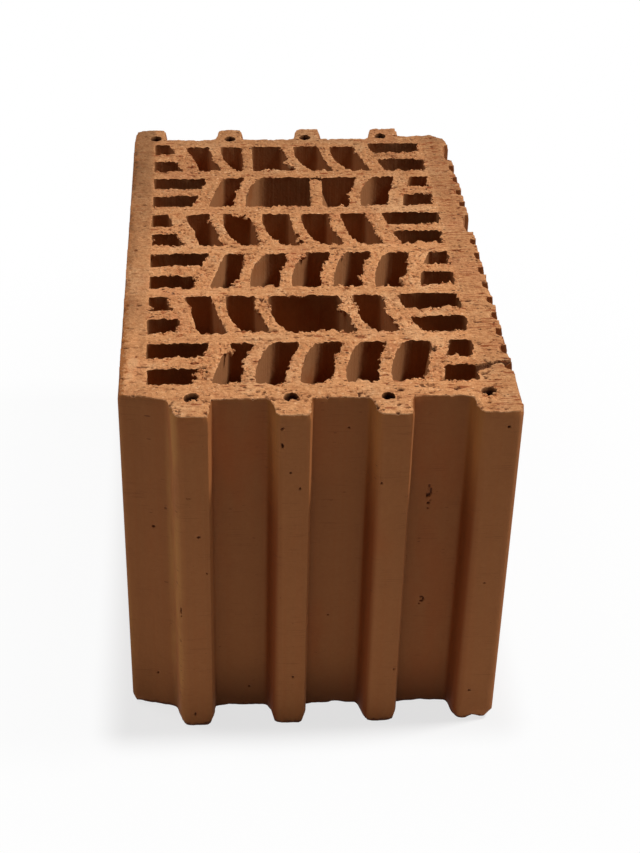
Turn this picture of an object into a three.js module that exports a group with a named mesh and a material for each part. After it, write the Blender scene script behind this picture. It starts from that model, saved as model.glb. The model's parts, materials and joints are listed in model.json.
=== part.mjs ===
// Perforated clay block for a wall 240 mm thick, 12 DF format, laid dry-jointed end to end.
// It is extruded clay: one section runs the full height, and the perforations stand upright.
// Six rows of holes lie across the wall. In every other row the curved webs lean the other way.
// Three tongues and a corner tongue on each end face interlock with the next block.
// Units are millimetres. Z runs up along the perforations, X across the wall, Y along the wall.
// The origin is at the middle of the bottom bed face.
import * as THREE from "three";

// Overall sizes
const WIDTH = 240; // wall thickness, from the smooth side to the grooved side
const COURSE_LENGTH = 374; // length that one block takes up in the course
const HEIGHT = 249; // cut length of the extruded section
const TONGUE_OUT = 18; // how far the tongues stand out of each end face
const BODY = COURSE_LENGTH - TONGUE_OUT; // from the groove floors of one end to the other

// Tongues and grooves
const TONGUES = 4;
const TONGUE_PITCH = WIDTH / TONGUES;
const TONGUE_FOOT = 27; // width where the tongue leaves the end face
const FRONT_FIRST = 43; // middle of the first front tongue, from the smooth side
const BACK_FIRST = FRONT_FIRST - TONGUE_PITCH / 2;
const FLANK_LEAN = 3.5; // how far the sloped flank leans in, towards the smooth side
const STEEP_LEAN = 1; // how far the other flank leans in
const BACK_SLIM = 3; // the back tongues are this much narrower at the foot
const FIRST_FULLER = 1.5; // but the first of them is this much wider on its steep flank
const LAST_FULLER = 3; // and the last on its sloped flank
const TIP_RADIUS = 5.5;
const FOOT_RADIUS = 3;
const CORNER_DROP = 6; // the front end face falls back by this at the smooth side
const CORNER_EASE = 1.5; // of which this much is gained before the slope
const CORNER_RUN = 16; // length of the slope that brings it forward again
const CORNER_SWELL = 5.5; // the back end face swells by this at the keyed side
const SWELL_PLACE = 12; // how far the top of the swell is from the keyed side
const CORNER_RADIUS = 3;
const CORNER_TIP_RADIUS = 10; // the corner tongue is rounder on the smooth side
const CORE_RADIUS = 4.5; // small round hole in the foot of each tongue
const CORE_INSET = 1.5; // middle of that hole, from the groove floor
// The core pins bend in the clay, so each hole wanders from the middle of its tongue, sideways and back.
const FRONT_WANDER = [[0.5, 0], [0, -0.5], [-2.5, -1], [-2, 2]];
const BACK_WANDER = [[3.5, 0.5], [0, -0.5], [-2.5, 1], [-4, 2.5]];
const CORE_SIDES = 12;

// Walls and webs
const SMOOTH_WALL = 16; // side wall without grooves
const KEYED_WALL = 22.5; // side wall with the plaster keys
const FRONT_WALL = 16;
const BACK_WALL = 9;
const BACK_TRIM = 4.5; // the curved cells of the last row stop short by this
const ROW_WEB = 11; // web between two rows
const CELL_WEB = 9.5; // curved web between two cells
const OUTER_WEB = 11; // curved web between the cells and the slots
const SLOT_WEB = 11; // web between the two slots of a pair

// Holes
const ROWS = 6;
const CELLS = 5;
const LONG_SLOT = 28.5; // slot on the smooth side, at the front of a rising row
const KEYED_SLOT = 23; // slot on the keyed side, at the front of a rising row
const SHORT_SLOT = 12; // slot on the smooth side, at the back of a falling row
const LEAN = 11; // how far a cell shifts sideways over the depth of its row
const LEAN_LESS = 1.5; // the straighter wall of a cell leans less
const BELLY = 1; // the bowed wall of a cell first swings out by this
const BEND = 2.7; // exponent of the bowed wall
const FIRST_BEND = 1.15; // the left wall of the first cell is nearly straight
const STRAIGHTER = 1.3; // exponent of the right wall
const HOLE_RADIUS = 2.5;
const BOW_RADIUS = 5; // where the bowed wall runs into the row web
const GRIP_RADIUS = 6;
const WALL_STEPS = 6; // pieces that a bowed wall is drawn with
const SQUARE_WEB = 7; // the web that stands square in the last row
const SQUARE_SHIFT = 2.5; // and is this much nearer the smooth side
const FIN_GAP = 4.5; // the web beside the rear grip hole ends this far before the row web
const FIN_LEAN = 2; // with its back end loose, this web stands nearly square to the row

// Plaster keys in one side
const KEY_FIRST = 26; // from the groove floor of the front end to the first key
const KEY_MOUTH = 9;
const KEY_LAND = 10.7;
const KEY_DEPTH = 2.8;
const KEY_SLOPE = 4.5; // length of the sloped wall along the side
const STEEP_SLOPE = 0.3;
const WIDE_KEYS = [9, 14]; // which keys are wide, counted from the front
const WIDE_KEY = 25;
const WIDE_KEY_DEPTH = 4; // deepest at the front of the wide key
const WIDE_SLOPE = 1;
const LIP_RADIUS = 0.8;
const KEY_LAST_GAP = 12; // plain side left at the back end

const ROW_DEPTH = (BODY - FRONT_WALL - BACK_WALL - (ROWS - 1) * ROW_WEB) / ROWS;
const ROW_PITCH = ROW_DEPTH + ROW_WEB;
const SLOT_DEPTH = (ROW_DEPTH - SLOT_WEB) / 2;
const INNER = WIDTH - SMOOTH_WALL - KEYED_WALL;
const CELL_SPAN = INNER - LONG_SLOT - KEYED_SLOT - 2 * OUTER_WEB;
const CELL_PITCH = (CELL_SPAN + CELL_WEB) / CELLS;
const CELL_WIDTH = CELL_PITCH - CELL_WEB;

const MOST_OF_EDGE = 0.45; // a rounding takes at most this share of each edge it joins

// Goes round a closed outline with each corner rounded by its own radius.
function roundedOutline(path, corners) {
  const n = corners.length;
  const cut = (i, towards) => {
    const [x, y, r = 0] = corners[(i + n) % n];
    const [tx, ty] = corners[(towards + n) % n];
    const length = Math.hypot(tx - x, ty - y);
    const share = Math.min(r, length * MOST_OF_EDGE) / length;
    return [x + (tx - x) * share, y + (ty - y) * share];
  };
  path.moveTo(...cut(0, 1));
  for (let i = 1; i <= n; i += 1) {
    const corner = corners[i % n];
    path.lineTo(...cut(i, i - 1));
    if (corner[2]) path.quadraticCurveTo(corner[0], corner[1], ...cut(i, i + 1));
  }
  return path;
}

// Rising rows lean to the keyed side on the way back, falling rows on the way front.
const isRising = (row) => row % 2 === 0;
const leanShare = (row, t) => (isRising(row) ? t : 1 - t);
const cellStart = (row) => SMOOTH_WALL + OUTER_WEB + (isRising(row) ? LONG_SLOT : SHORT_SLOT);

// Sideways place of a cell's left wall at depth t of its row, 0 at the front and 1 at the back.
function cellLeft(row, cell, t) {
  const share = leanShare(row, t);
  const swing = cell === 0 ? LEAN * share ** FIRST_BEND : (LEAN + BELLY) * share ** BEND - BELLY;
  return cellStart(row) + cell * CELL_PITCH + swing;
}

// The same for its straighter right wall.
function cellRight(row, cell, t) {
  const swing = (LEAN - LEAN_LESS) * leanShare(row, t) ** STRAIGHTER;
  return cellStart(row) + cell * CELL_PITCH + CELL_WIDTH + swing;
}

const rowFront = (row) => FRONT_WALL + row * ROW_PITCH;
const cellDepth = (row) => (row === ROWS - 1 ? ROW_DEPTH - BACK_TRIM : ROW_DEPTH);

// Points along a wall from depth t0 to t1, ends included.
function along(wall, row, depth, t0, t1, steps) {
  return Array.from({ length: steps + 1 }, (_, i) => {
    const t = t0 + ((t1 - t0) * i) / steps;
    return [wall(t), rowFront(row) + depth * t];
  });
}

// A hole between two walls, drawn round from its front left corner.
// A bowed left wall runs into the row web with its own radius, at the end that it leans to.
function bowedHole(row, left, right, t0, t1, depth, radius, bowRadius) {
  const up = along(left, row, depth, t0, t1, WALL_STEPS);
  const down = along(right, row, depth, t1, t0, WALL_STEPS);
  const corners = [...up, ...down];
  for (const i of [0, WALL_STEPS, WALL_STEPS + 1, 2 * WALL_STEPS + 1]) corners[i].push(radius);
  if (bowRadius) corners[isRising(row) ? WALL_STEPS : 0][2] = bowRadius;
  return roundedOutline(new THREE.Path(), corners);
}

// The five curved cells of a row. Two of them are one grip hole in the second row from each end.
function cellHoles(row) {
  const depth = cellDepth(row);
  const grip = { 1: 2, [ROWS - 2]: 1 }[row];
  const holes = [];
  for (let cell = 0; cell < CELLS; cell += 1) {
    const first = cell;
    if (cell === grip) cell += 1;
    const last = cell;
    const finBeside = row === ROWS - 2 && first === grip;
    if (finBeside) {
      holes.push(finHole(row, first, last, depth));
      cell += 1;
      continue;
    }
    const squareRight = row === ROWS - 1 && first === 1;
    const squareLeft = row === ROWS - 1 && first === 2;
    const squareWall = cellRight(row, 1, 1) - SQUARE_SHIFT;
    const left = (t) => (squareLeft ? squareWall + SQUARE_WEB : cellLeft(row, first, t));
    const right = (t) => (squareRight ? squareWall : cellRight(row, last, t));
    const radius = first === last ? HOLE_RADIUS : GRIP_RADIUS;
    const bowed = first === last && first > 0 && !squareLeft;
    holes.push(bowedHole(row, left, right, 0, 1, depth, radius, bowed ? BOW_RADIUS : radius));
  }
  return holes;
}

// The rear grip hole and the cell beside it. Their web has parted from the row web behind it:
// it is a fin on the front row web, and the two holes meet round its loose end.
function finHole(row, first, last, depth) {
  const end = 1 - FIN_GAP / depth;
  const left = (t) => cellLeft(row, first, t);
  const right = (t) => cellRight(row, last + 1, t);
  const finNear = (t) => cellRight(row, last, 0) + FIN_LEAN * t;
  const finFar = (t) => cellLeft(row, last + 1, 0) + FIN_LEAN * t;
  const up = along(left, row, depth, 0, 1, WALL_STEPS);
  const down = along(right, row, depth, 1, 0, WALL_STEPS);
  const finUp = along(finFar, row, depth, 0, end, WALL_STEPS);
  const finDown = along(finNear, row, depth, end, 0, WALL_STEPS);
  up[0].push(GRIP_RADIUS);
  up[WALL_STEPS].push(GRIP_RADIUS);
  for (const run of [down, finUp, finDown]) {
    run[0].push(HOLE_RADIUS);
    run[WALL_STEPS].push(HOLE_RADIUS);
  }
  return roundedOutline(new THREE.Path(), [...up, ...down, ...finUp, ...finDown]);
}

// Two slots one behind the other at each end of a row. Their inner ends lean straight with the row.
function slotHoles(row) {
  const smoothSide = () => SMOOTH_WALL;
  const keyedSide = () => WIDTH - KEYED_WALL;
  const byFirstCell = (t) => cellStart(row) - OUTER_WEB + LEAN * leanShare(row, t);
  const byLastCell = (t) => cellRight(row, CELLS - 1, t) + OUTER_WEB;
  const split = SLOT_DEPTH / ROW_DEPTH;
  const holes = [];
  for (const [t0, t1] of [[0, split], [1 - split, 1]]) {
    holes.push(bowedHole(row, smoothSide, byFirstCell, t0, t1, ROW_DEPTH, HOLE_RADIUS));
    holes.push(bowedHole(row, byLastCell, keyedSide, t0, t1, ROW_DEPTH, HOLE_RADIUS));
  }
  return holes;
}

// One round hole in the foot of every tongue, left by a core pin of the die.
function coreHoles() {
  const holes = [];
  for (let i = 0; i < TONGUES; i += 1) {
    const front = FRONT_FIRST + i * TONGUE_PITCH + FRONT_WANDER[i][0];
    const back = BACK_FIRST + i * TONGUE_PITCH + BACK_WANDER[i][0];
    holes.push(roundHole(front, CORE_INSET + FRONT_WANDER[i][1]));
    holes.push(roundHole(back, BODY + CORE_INSET + BACK_WANDER[i][1]));
  }
  return holes;
}

function roundHole(x, y) {
  const points = Array.from({ length: CORE_SIDES }, (_, i) => {
    const angle = (2 * Math.PI * i) / CORE_SIDES;
    return new THREE.Vector2(x + CORE_RADIUS * Math.cos(angle), y + CORE_RADIUS * Math.sin(angle));
  });
  return new THREE.Path().setFromPoints(points);
}

// Outline of the section, anticlockwise from the front corner of the smooth side.
function sectionOutline() {
  const half = TONGUE_FOOT / 2;
  const slopeStart = FRONT_FIRST - half - CORNER_RUN;
  const front = [[0, CORNER_DROP, CORNER_RADIUS], [slopeStart, CORNER_DROP - CORNER_EASE, CORNER_RADIUS]];
  for (let i = 0; i < TONGUES; i += 1) {
    const x = FRONT_FIRST + i * TONGUE_PITCH;
    const last = i === TONGUES - 1;
    const far = last ? WIDTH : x + half;
    front.push([x - half, 0, FOOT_RADIUS]);
    front.push([x - half + FLANK_LEAN, -TONGUE_OUT, TIP_RADIUS]);
    front.push([far - STEEP_LEAN, -TONGUE_OUT, TIP_RADIUS]);
    front.push(last ? [far, 0] : [far, 0, FOOT_RADIUS]);
  }
  return [...front, ...plasterKeys(), ...backOutline(half - BACK_SLIM / 2)];
}

// The back end face with its tongues, from the keyed side to the corner tongue on the smooth side.
function backOutline(half) {
  const swell = [WIDTH - SWELL_PLACE, BODY + CORNER_SWELL, CORNER_RADIUS];
  const corners = [[WIDTH, BODY - CORNER_SWELL / 2, CORNER_RADIUS], swell];
  for (let i = TONGUES - 1; i >= 0; i -= 1) {
    const x = BACK_FIRST + i * TONGUE_PITCH;
    const first = i === 0;
    const last = i === TONGUES - 1;
    const near = x + half + (first ? FIRST_FULLER : 0);
    const far = first ? 0 : x - half - (last ? LAST_FULLER : 0);
    const tip = BODY + TONGUE_OUT;
    corners.push([near, last ? BODY + CORNER_SWELL / 2 : BODY, FOOT_RADIUS]);
    corners.push([near - STEEP_LEAN, tip, TIP_RADIUS]);
    corners.push([far + (first ? STEEP_LEAN : FLANK_LEAN), tip, first ? CORNER_TIP_RADIUS : TIP_RADIUS]);
    corners.push(first ? [far, BODY] : [far, BODY, FOOT_RADIUS]);
  }
  return corners;
}

// Keys for the plaster run up the side: a sloped wall, a short floor and a steep wall.
// Wide keys take the place of two of them, and equal lands stand between all.
function plasterKeys() {
  const corners = [];
  let near = KEY_FIRST;
  for (let i = 0; i <= WIDE_KEYS[1]; i += 1) {
    const wide = WIDE_KEYS.includes(i);
    const far = near + (wide ? WIDE_KEY : KEY_MOUTH);
    if (far > BODY - KEY_LAST_GAP) break;
    corners.push([WIDTH, near, LIP_RADIUS]);
    corners.push([WIDTH - (wide ? WIDE_KEY_DEPTH : KEY_DEPTH), near + (wide ? WIDE_SLOPE : KEY_SLOPE)]);
    corners.push([WIDTH - KEY_DEPTH, far - STEEP_SLOPE]);
    corners.push([WIDTH, far, LIP_RADIUS]);
    near = far + KEY_LAND;
  }
  return corners;
}

const section = roundedOutline(new THREE.Shape(), sectionOutline());
for (let row = 0; row < ROWS; row += 1) section.holes.push(...cellHoles(row), ...slotHoles(row));
section.holes.push(...coreHoles());

const geometry = new THREE.ExtrudeGeometry(section, {
  depth: HEIGHT,
  bevelEnabled: false,
  curveSegments: 3,
});
const clay = new THREE.MeshStandardMaterial({ color: 0xc4875a, roughness: 0.9, metalness: 0 });
const block = new THREE.Mesh(geometry, clay);
block.name = "clay_block";
block.position.set(-WIDTH / 2, -BODY / 2, 0);

const part = new THREE.Group();
part.add(block);
export default part;
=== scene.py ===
"""Perforated clay wall block: torn wire-cut beds, extruded skin, cells with painted shade and a plain studio.
"""
import json
import math

import bpy
import numpy as np
from bpy.props import FloatProperty, FloatVectorProperty, IntProperty, PointerProperty
from mathutils import Matrix, Vector
from mathutils.geometry import delaunay_2d_cdt


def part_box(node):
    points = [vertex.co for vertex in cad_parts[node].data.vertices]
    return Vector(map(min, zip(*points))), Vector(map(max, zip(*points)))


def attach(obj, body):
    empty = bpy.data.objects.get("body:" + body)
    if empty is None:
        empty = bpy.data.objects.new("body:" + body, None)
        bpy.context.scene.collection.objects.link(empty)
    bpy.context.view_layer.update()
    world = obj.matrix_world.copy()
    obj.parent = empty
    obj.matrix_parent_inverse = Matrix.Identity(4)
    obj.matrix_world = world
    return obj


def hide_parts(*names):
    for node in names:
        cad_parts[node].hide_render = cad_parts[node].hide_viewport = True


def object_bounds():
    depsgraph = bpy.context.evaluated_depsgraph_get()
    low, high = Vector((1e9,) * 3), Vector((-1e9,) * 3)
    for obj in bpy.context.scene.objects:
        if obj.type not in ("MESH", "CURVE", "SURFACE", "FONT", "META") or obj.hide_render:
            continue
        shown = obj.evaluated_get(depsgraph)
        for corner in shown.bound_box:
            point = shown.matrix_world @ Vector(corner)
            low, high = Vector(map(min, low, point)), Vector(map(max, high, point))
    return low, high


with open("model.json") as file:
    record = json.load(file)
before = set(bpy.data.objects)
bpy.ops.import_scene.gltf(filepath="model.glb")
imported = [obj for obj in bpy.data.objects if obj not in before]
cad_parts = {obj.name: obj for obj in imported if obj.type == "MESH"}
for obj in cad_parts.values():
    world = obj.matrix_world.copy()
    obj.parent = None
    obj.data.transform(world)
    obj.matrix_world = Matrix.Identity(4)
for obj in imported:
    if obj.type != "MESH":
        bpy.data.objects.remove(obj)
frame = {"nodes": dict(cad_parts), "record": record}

bl_info = {
    "name": "Perforated Clay Block",
    "version": (1, 0, 0),
    "blender": (4, 5, 0),
    "location": "3D View > Sidebar > Clay Block",
    "description": "Builds the detailed surface of a perforated clay wall block and its studio",
    "category": "Add Mesh",
}

MM = 0.001
BLOCK_NODE = "clay_block"
CAD_LOW, CAD_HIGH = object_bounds()
MOUNTS = {mount["name"]: mount for mount in frame["record"]["mounts"]}

# All sizes and tables are in mm. A table's x starts at the smooth side and its y at the floor of the front
# grooves; z starts at the lower bed.

HALF_WIDTH, HALF_LENGTH, HEIGHT = (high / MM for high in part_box(BLOCK_NODE)[1])
GROOVE_FLOOR = MOUNTS["end_front"]["pos_m"][1] / MM
KEYS_DEEPER = 1.2  # how much further than in the CAD the keyed side's grooves reach
CORNER_STEP = 8.0  # longest piece of the section's outline that shifts as one
LEFT_MARGIN = (13, 18)  # from plain margin to webs and holes, on the smooth side
WEB_REACH = (92, 102)  # narrow webs end between these distances from the middle, where the slots begin
FINE_STEP = 0.6  # spacing of the upper face's points at the crack and pits
WALL_REACH = 1.8  # the walls are clean so many times deeper than the last ring of points below a torn end
WIRE_DRAG = (-0.8, 0.6)  # the way that the cutting wire dragged the clay: to the left and the back
CORE_SIZE = 15  # a hole smaller than this both ways is a core hole
CELL_DEPTH = 30  # a hole deeper than this from front to back has narrow webs beside it
ROW_SPACING = 0.87  # between the rows of a shaken grid, in steps: about the height of an even triangle
RIM_SPACING = 0.62  # between the rim and the nearest places of a cut face, in steps
ROW_GAP = 1.8  # between a torn end and the flat row of points beside it
PIT_RINGS = (0.3, 0.55, 0.8, 1.05, 1.4, 1.9)  # rings of points round a pit in the skin, as shares of its size
PIT_SPOKES = 10  # points on each of those rings
FOLD_POINTS = 7  # points on a fold beside a pit
LONG_SIDE = 9.0  # a triangle of the skin with a longer side stays flat
SHARP_FOLD = math.radians(38)
CUT, SKIN, CELL = 0, 1, 2  # the numbers of the block's materials
# Torn clay shows on the first ring below the upper edge: all round the outer walls, and in the holes where
# the edge is this ragged or bitten this deep. On the outer walls a deep bite shows it on the second as well.
TORN_RAGGED, TORN_BITE, DEEP_BITE = 0.42, 0.35, 1.6

# Rings of points below a torn end: depth, and the shares of the teeth and of the bites that are left there.
TOP_RINGS = [(0, 1, 1), (0.8, 0.42, 0.85), (2.1, 0.1, 0.5), (4.6, 0, 0)]
BED_RINGS = [(0, 1, 1), (1.8, 0.25, 0.65), (6.5, 0, 0)]
# Walls that the die or handling pushed out of line from top to bottom: x, y, radius, way out into the hole.
WALL_SHIFTS = [
    (16, 25, 8, 1.4), (195.5, 25, 7, 1.5), (217.5, 55, 6, -1.3), (27, 90.5, 11, -1.4), (27, 73, 10, 1),
    (48, 80, 6, -1.8), (198, 119, 16, -2), (200, 90.5, 14, -1.3), (217.5, 85, 6, -1.3),
    (187.5, 76, 3.5, 2.5), (35, 176, 15, -1.7), (35, 158.5, 15, 1.8), (122, 176, 6, -1.5),
    (153, 176, 6, -0.9), (190, 160, 7, -0.9), (217.5, 167, 7, -0.9), (206, 147.5, 11, -2),
    (206, 130, 11, 2.2), (27, 187, 11, 2.2), (151.5, 215, 10, 1.4), (198, 233, 16, -1.7),
    (217.5, 225, 6, -1.3), (185, 215.5, 9, 0.9), (212, 215.5, 7, 2.6), (200, 204.5, 14, -2.3),
    (200, 187, 14, 2.2), (22, 272.5, 9, 1.8), (30, 261.5, 12, -0.9), (30, 244, 13, 1.8),
    (147, 244, 7, -1.3), (208, 272.5, 8, 2.1), (217.5, 281, 7, 1.3), (206, 261.5, 11, -1.4),
    (206, 244, 11, 2.6), (217.5, 252, 7, 0.9), (37, 310, 7, 3), (44.5, 321, 8, 1.7), (217.5, 338, 7, 2.2),
    (185, 329.5, 8, 1.4), (210, 329.5, 7, 3.4), (178.2, 338, 6, -1.3), (200, 318.5, 14, -2.1),
    (29, 344, 3.5, 1.6),
]
# The parted web leans: x, y, radius, and how far its walls have gone over to +x at LEAN_DEPTH.
LEANS = [(134, 284, 8, 15), (134, 272, 8, 10), (134, 261, 8, 6), (133, 252, 7, 2.5)]
LEAN_DEPTH = 38.0  # below the upper bed; from there down they stand upright again
# Torn edges of the upper bed: x, y, radius, and how far clay hangs over the hole or, below 0, is broken away.
EDGE_MARKS = [
    (22, 46, 3, 1.4), (32, 45, 5, 1.5), (42, 45, 3, 1.4), (50, 45, 3, 1.5), (48, 23, 2.5, -1.4),
    (48, 30, 2.5, -1.5), (64.5, 54.5, 2.6, 4.2), (77.5, 38, 5, 1.8), (80, 48, 5, 2.2), (69.5, 16, 4, 2.6),
    (94, 16, 4, -1.8), (115, 16, 7, -1.4), (126.5, 16, 2, 3.2), (144, 16, 1.7, 2.4), (148.5, 16, 1.7, 2.8),
    (152.5, 16, 3, -1.3), (191, 53, 5, -2.8), (188, 38, 7, -2.5), (185.5, 26, 6, -2.4), (182, 16.5, 2, 3.4),
    (174.5, 16, 2.2, 3), (201, 50, 3, 1.3), (203, 57, 2.5, 1.1), (214.5, 16, 2, 2.6), (240, 31, 5, -1.5),
    (240, 16, 9, -1), (16, 106, 2.5, 3), (37.5, 78, 3.5, 3), (22, 73, 3, 1.6), (30, 73, 3, 1.8),
    (39.5, 74, 1.7, -2), (41.8, 105, 5, 1.5), (87.8, 104, 4, 2), (80, 73, 4, 2.6), (87, 73, 3, 2.4),
    (108, 119, 2, 1.6), (115, 119, 2, 2), (143, 101, 2.6, 2.6), (110, 73, 5, 1.7), (122, 73, 4, 2.1),
    (134, 73, 4, 1.8), (150.8, 100, 2, 1.9), (210, 101.5, 2, 3.2), (195, 73, 3, -2.4), (48, 144, 3, 3),
    (74, 135, 4, 3), (81, 169, 3, 2.2), (95, 130, 4, 1.8), (119.2, 172, 2, 2.5), (134, 155, 6, 2.2),
    (131.5, 145, 5, 2.2), (161, 155, 7, 2), (158, 142, 5, 1.8), (184.6, 137, 5, 2), (209, 159, 3, 2.6),
    (214.5, 131, 2.5, 1.8), (145.5, 130, 5, -1.3), (16, 195, 2, 1.8), (44.5, 210, 5, 1.6),
    (58.3, 225, 3.5, 2), (84.5, 229, 3, 3), (80, 233, 3.5, 3.2), (102, 193.5, 2, 1.6), (192, 234, 2, 1.8),
    (217.5, 197, 3, 1.6), (69, 244, 2, 2.5), (101, 301, 4, 3.4), (117.3, 316, 3, 2.5), (112, 207, 4, 1.8),
    (140, 214, 5, 1.7), (156, 262, 5, 1.8), (108, 262, 5, 1.6), (60, 318, 4, 1.6), (142, 322, 5, 1.6),
    (79, 268, 5, 1.5), (45.5, 4.6, 3, -1.6), (47, 2.2, 2, -1.5), (45.4, -2, 2.2, 2.6),
    (98.9, -1.2, 2.5, -1.4), (103.6, -3.2, 1.8, 4.4), (100, 3.6, 2.5, -0.9), (164.2, 0, 3.2, 2),
    (162, -3.4, 2.4, 2.8), (220.7, 7.2, 4, -1.9), (216.8, 3, 2.5, -0.7), (107, 40, 6, 1.5),
    (134.5, 42, 6, 1.7), (162, 44, 6, 1.5), (104, 150, 5, 1.7), (168, 96, 5, 1.6),
]
# Spots where the clay of the upper bed tore into crumbs: x, y, radius.
TORN_SPOTS = [
    (80, 170, 7), (79, 231, 6), (91, 195, 5), (117, 313, 5), (89, 106, 6), (145, 106, 6), (38, 78, 6),
    (180, 21, 6), (127, 18, 4), (68, 56, 5), (50, 29, 5), (49, 147, 4), (73, 135, 5), (121, 172, 4),
    (122, 197, 4), (184, 138, 5), (101, 303, 5), (86, 178, 4), (145, 129, 5), (222, 0, 5), (44, 1, 4),
]
# Single pits in the upper bed: x, y, half width along x and y, depth.
BED_PITS = [
    (14, 36, 6, 0.9, 1.3), (23, 64.5, 7, 0.6, 1), (50.5, 34.5, 2.4, 0.9, 2), (52, 24, 1, 1, 1.6),
    (52.6, 29, 1, 1.3, 1.7), (82, 65, 9, 0.7, 1.1), (193.6, 52, 1, 3.6, 1.8), (181, 12, 1.2, 0.9, 1.7),
    (78.5, 3.5, 2.6, 0.7, 1.3), (86, 5, 0.9, 0.9, 1.6), (88, 10, 0.9, 0.8, 1.5), (98, 6, 0.8, 0.8, 1.4),
    (143, 4, 1.5, 1.1, 1.9), (138.5, 5.5, 3.2, 0.5, 1), (148, 6.5, 3, 0.5, 1), (142, 8.5, 0.6, 2, 0.9),
    (168, 7, 2.1, 1.4, 2.2), (152, -9, 1.2, 0.9, 1.6), (154, -14, 1, 0.8, 1.4), (165, -9, 1, 0.8, 1.5),
    (181, -12, 1, 0.8, 1.4), (31, -4, 1.1, 1, 1.7), (36, -12, 1.2, 0.9, 1.7), (38, -7, 0.9, 0.8, 1.4),
    (229, 21, 1.1, 0.9, 1.3), (222, 24, 1, 0.8, 1.3), (201.5, 8, 2, 0.8, 1.1), (46, 38.5, 6, 0.7, 0.8),
    (89, 115, 2, 2, 1.6), (88, 105, 1, 0.9, 1.5), (91.5, 78, 1, 0.9, 1.3), (176, 88, 1.2, 0.9, 1.6),
    (222.5, 110, 1.9, 1.2, 1.7), (117, 70, 2.1, 1.2, 1.7), (97, 65, 3.2, 0.5, 1), (10, 109, 1.7, 1.1, 2),
    (9, 104, 1, 0.8, 1.1), (82, 168, 1.3, 2.6, 1.5), (87.5, 178, 1.6, 1.4, 1.5), (143, 178, 1.2, 0.9, 1.4),
    (145.5, 127.5, 4, 1, 1.3), (200, 178.5, 1.2, 0.9, 1.3), (56, 178.5, 1.2, 0.9, 1.3),
    (191.5, 142, 1.5, 0.9, 1.6), (154.5, 184, 2, 0.8, 1.3), (67, 205, 1.1, 0.9, 1.5),
    (89, 193, 2.3, 1.8, 1.3), (155, 183, 1.2, 0.9, 1.4), (204, 211, 4.2, 0.5, 0.9),
    (11, 217, 1.4, 0.9, 1.5), (85, 292.5, 1.2, 0.9, 1.4), (192, 273.5, 1.5, 1.1, 1.6),
    (189, 260, 1, 0.9, 1.4), (140, 292.5, 2.8, 0.6, 1.4), (233, 275, 1.1, 0.9, 1.5),
    (230, 261, 1.1, 0.9, 1.5), (233, 239, 1.1, 0.9, 1.5), (145, 353, 1.2, 0.9, 1.4),
    (70.5, 298, 2.4, 0.8, 1.3), (200.5, 361, 2.3, 0.8, 1.3), (183, 325, 9, 0.6, 0.8), (6, 150, 3.5, 0.5, 1),
    (9, 58, 4.5, 0.5, 1), (8, 19, 3, 0.5, 1), (151.5, -5, 0.8, 0.7, 1.5), (153, -11, 0.9, 1.5, 1.9),
    (156, -14, 0.9, 0.7, 1.4), (148, 1, 1.7, 0.7, 1.4), (142.8, 2, 0.6, 1.7, 1.5),
    (144.6, 4.5, 0.5, 1.5, 1.3), (146.2, 3.5, 0.5, 1.3, 1.2), (209, -5, 1, 0.8, 1.5),
    (212, -8.5, 1.3, 0.7, 1.4), (214, -13, 1, 0.8, 1.4), (219, -14, 1.3, 0.7, 1.2),
    (228, -15, 1.4, 0.7, 1.2), (219, -8, 1.1, 0.8, 1.6), (201.2, 6.5, 1.5, 0.9, 1.6),
    (165.3, -9, 1.3, 1, 1.7), (164, -17, 1.4, 0.9, 1.6), (165.5, -1, 0.8, 2, 1), (220, 23, 1.7, 1.4, 1.4),
    (221, 19, 1.2, 1.2, 1.4), (224, 26, 2, 0.7, 1.2), (211, 35, 1.5, 0.9, 1.6), (210, 31.8, 1.3, 0.8, 1.6),
    (170, -12.5, 1, 0.8, 1.3), (34, -8.5, 0.7, 0.8, 1.3), (51.5, -14, 1.3, 1, 1.6),
    (54, 4.5, 0.9, 0.8, 1.2), (57.5, 13.5, 0.8, 0.9, 1.4), (83, 7.5, 1.4, 0.9, 1.8), (86.8, 7, 1, 0.9, 1.6),
    (90.5, 4.5, 0.9, 0.9, 1.5), (88, 1.2, 1.3, 0.8, 1.2), (80, 0, 0.8, 1.4, 1.5), (111, -3, 1, 1, 1.7),
    (113.5, 1.5, 0.7, 0.8, 1.3), (108.8, 3, 0.7, 0.7, 1.2), (124, 1.5, 1.2, 0.9, 1.6),
    (47, -1, 1, 0.8, 1.2), (51, -2.5, 0.9, 0.9, 1.2), (106.5, -1.2, 0.8, 1.2, 1.8),
]
# The crack from the front slot of the keyed side to the arris: x, y, half width, depth.
CRACK = [
    (214, 28.6, 3.6, 5.5), (219, 30.5, 3.2, 5), (225, 33.6, 2.1, 4), (231, 35.8, 1.3, 3.2),
    (241, 37.5, 0.9, 3),
]
# Colour patches on the upper bed: x, y, half width along x and y, paler (above 0) or duller (below 0).
TONE_PATCHES = [
    (1.5, 34, 2.2, 30, -0.25), (8, 70, 3, 22, 0.08), (8, 40, 5, 10, 0.3), (6, 24, 4, 6, 0.24),
    (7, 64, 4, 5, 0.14), (196, 63, 5, 3, 0.22), (224, -4, 6, 8, 0.12), (79, 8, 3, 2, 0.25),
    (226, 22, 9, 6, 0.08), (5, 110, 3, 16, -0.2), (4, 190, 3, 22, -0.18), (4, 300, 4, 30, -0.12),
    (146, 4, 12, 3, -0.12), (72, 134, 3, 4, 0.2), (50, 147, 2, 2, 0.25), (122, 197, 3, 2, 0.2),
    (121, 172, 2, 2, 0.2), (101, 304, 4, 3, 0.15), (112, 70, 8, 3, 0.08), (179, 183, 20, 4, 0.06),
    (60, 126, 18, 4, 0.06), (90, 365, 60, 6, -0.06),
]
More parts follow.
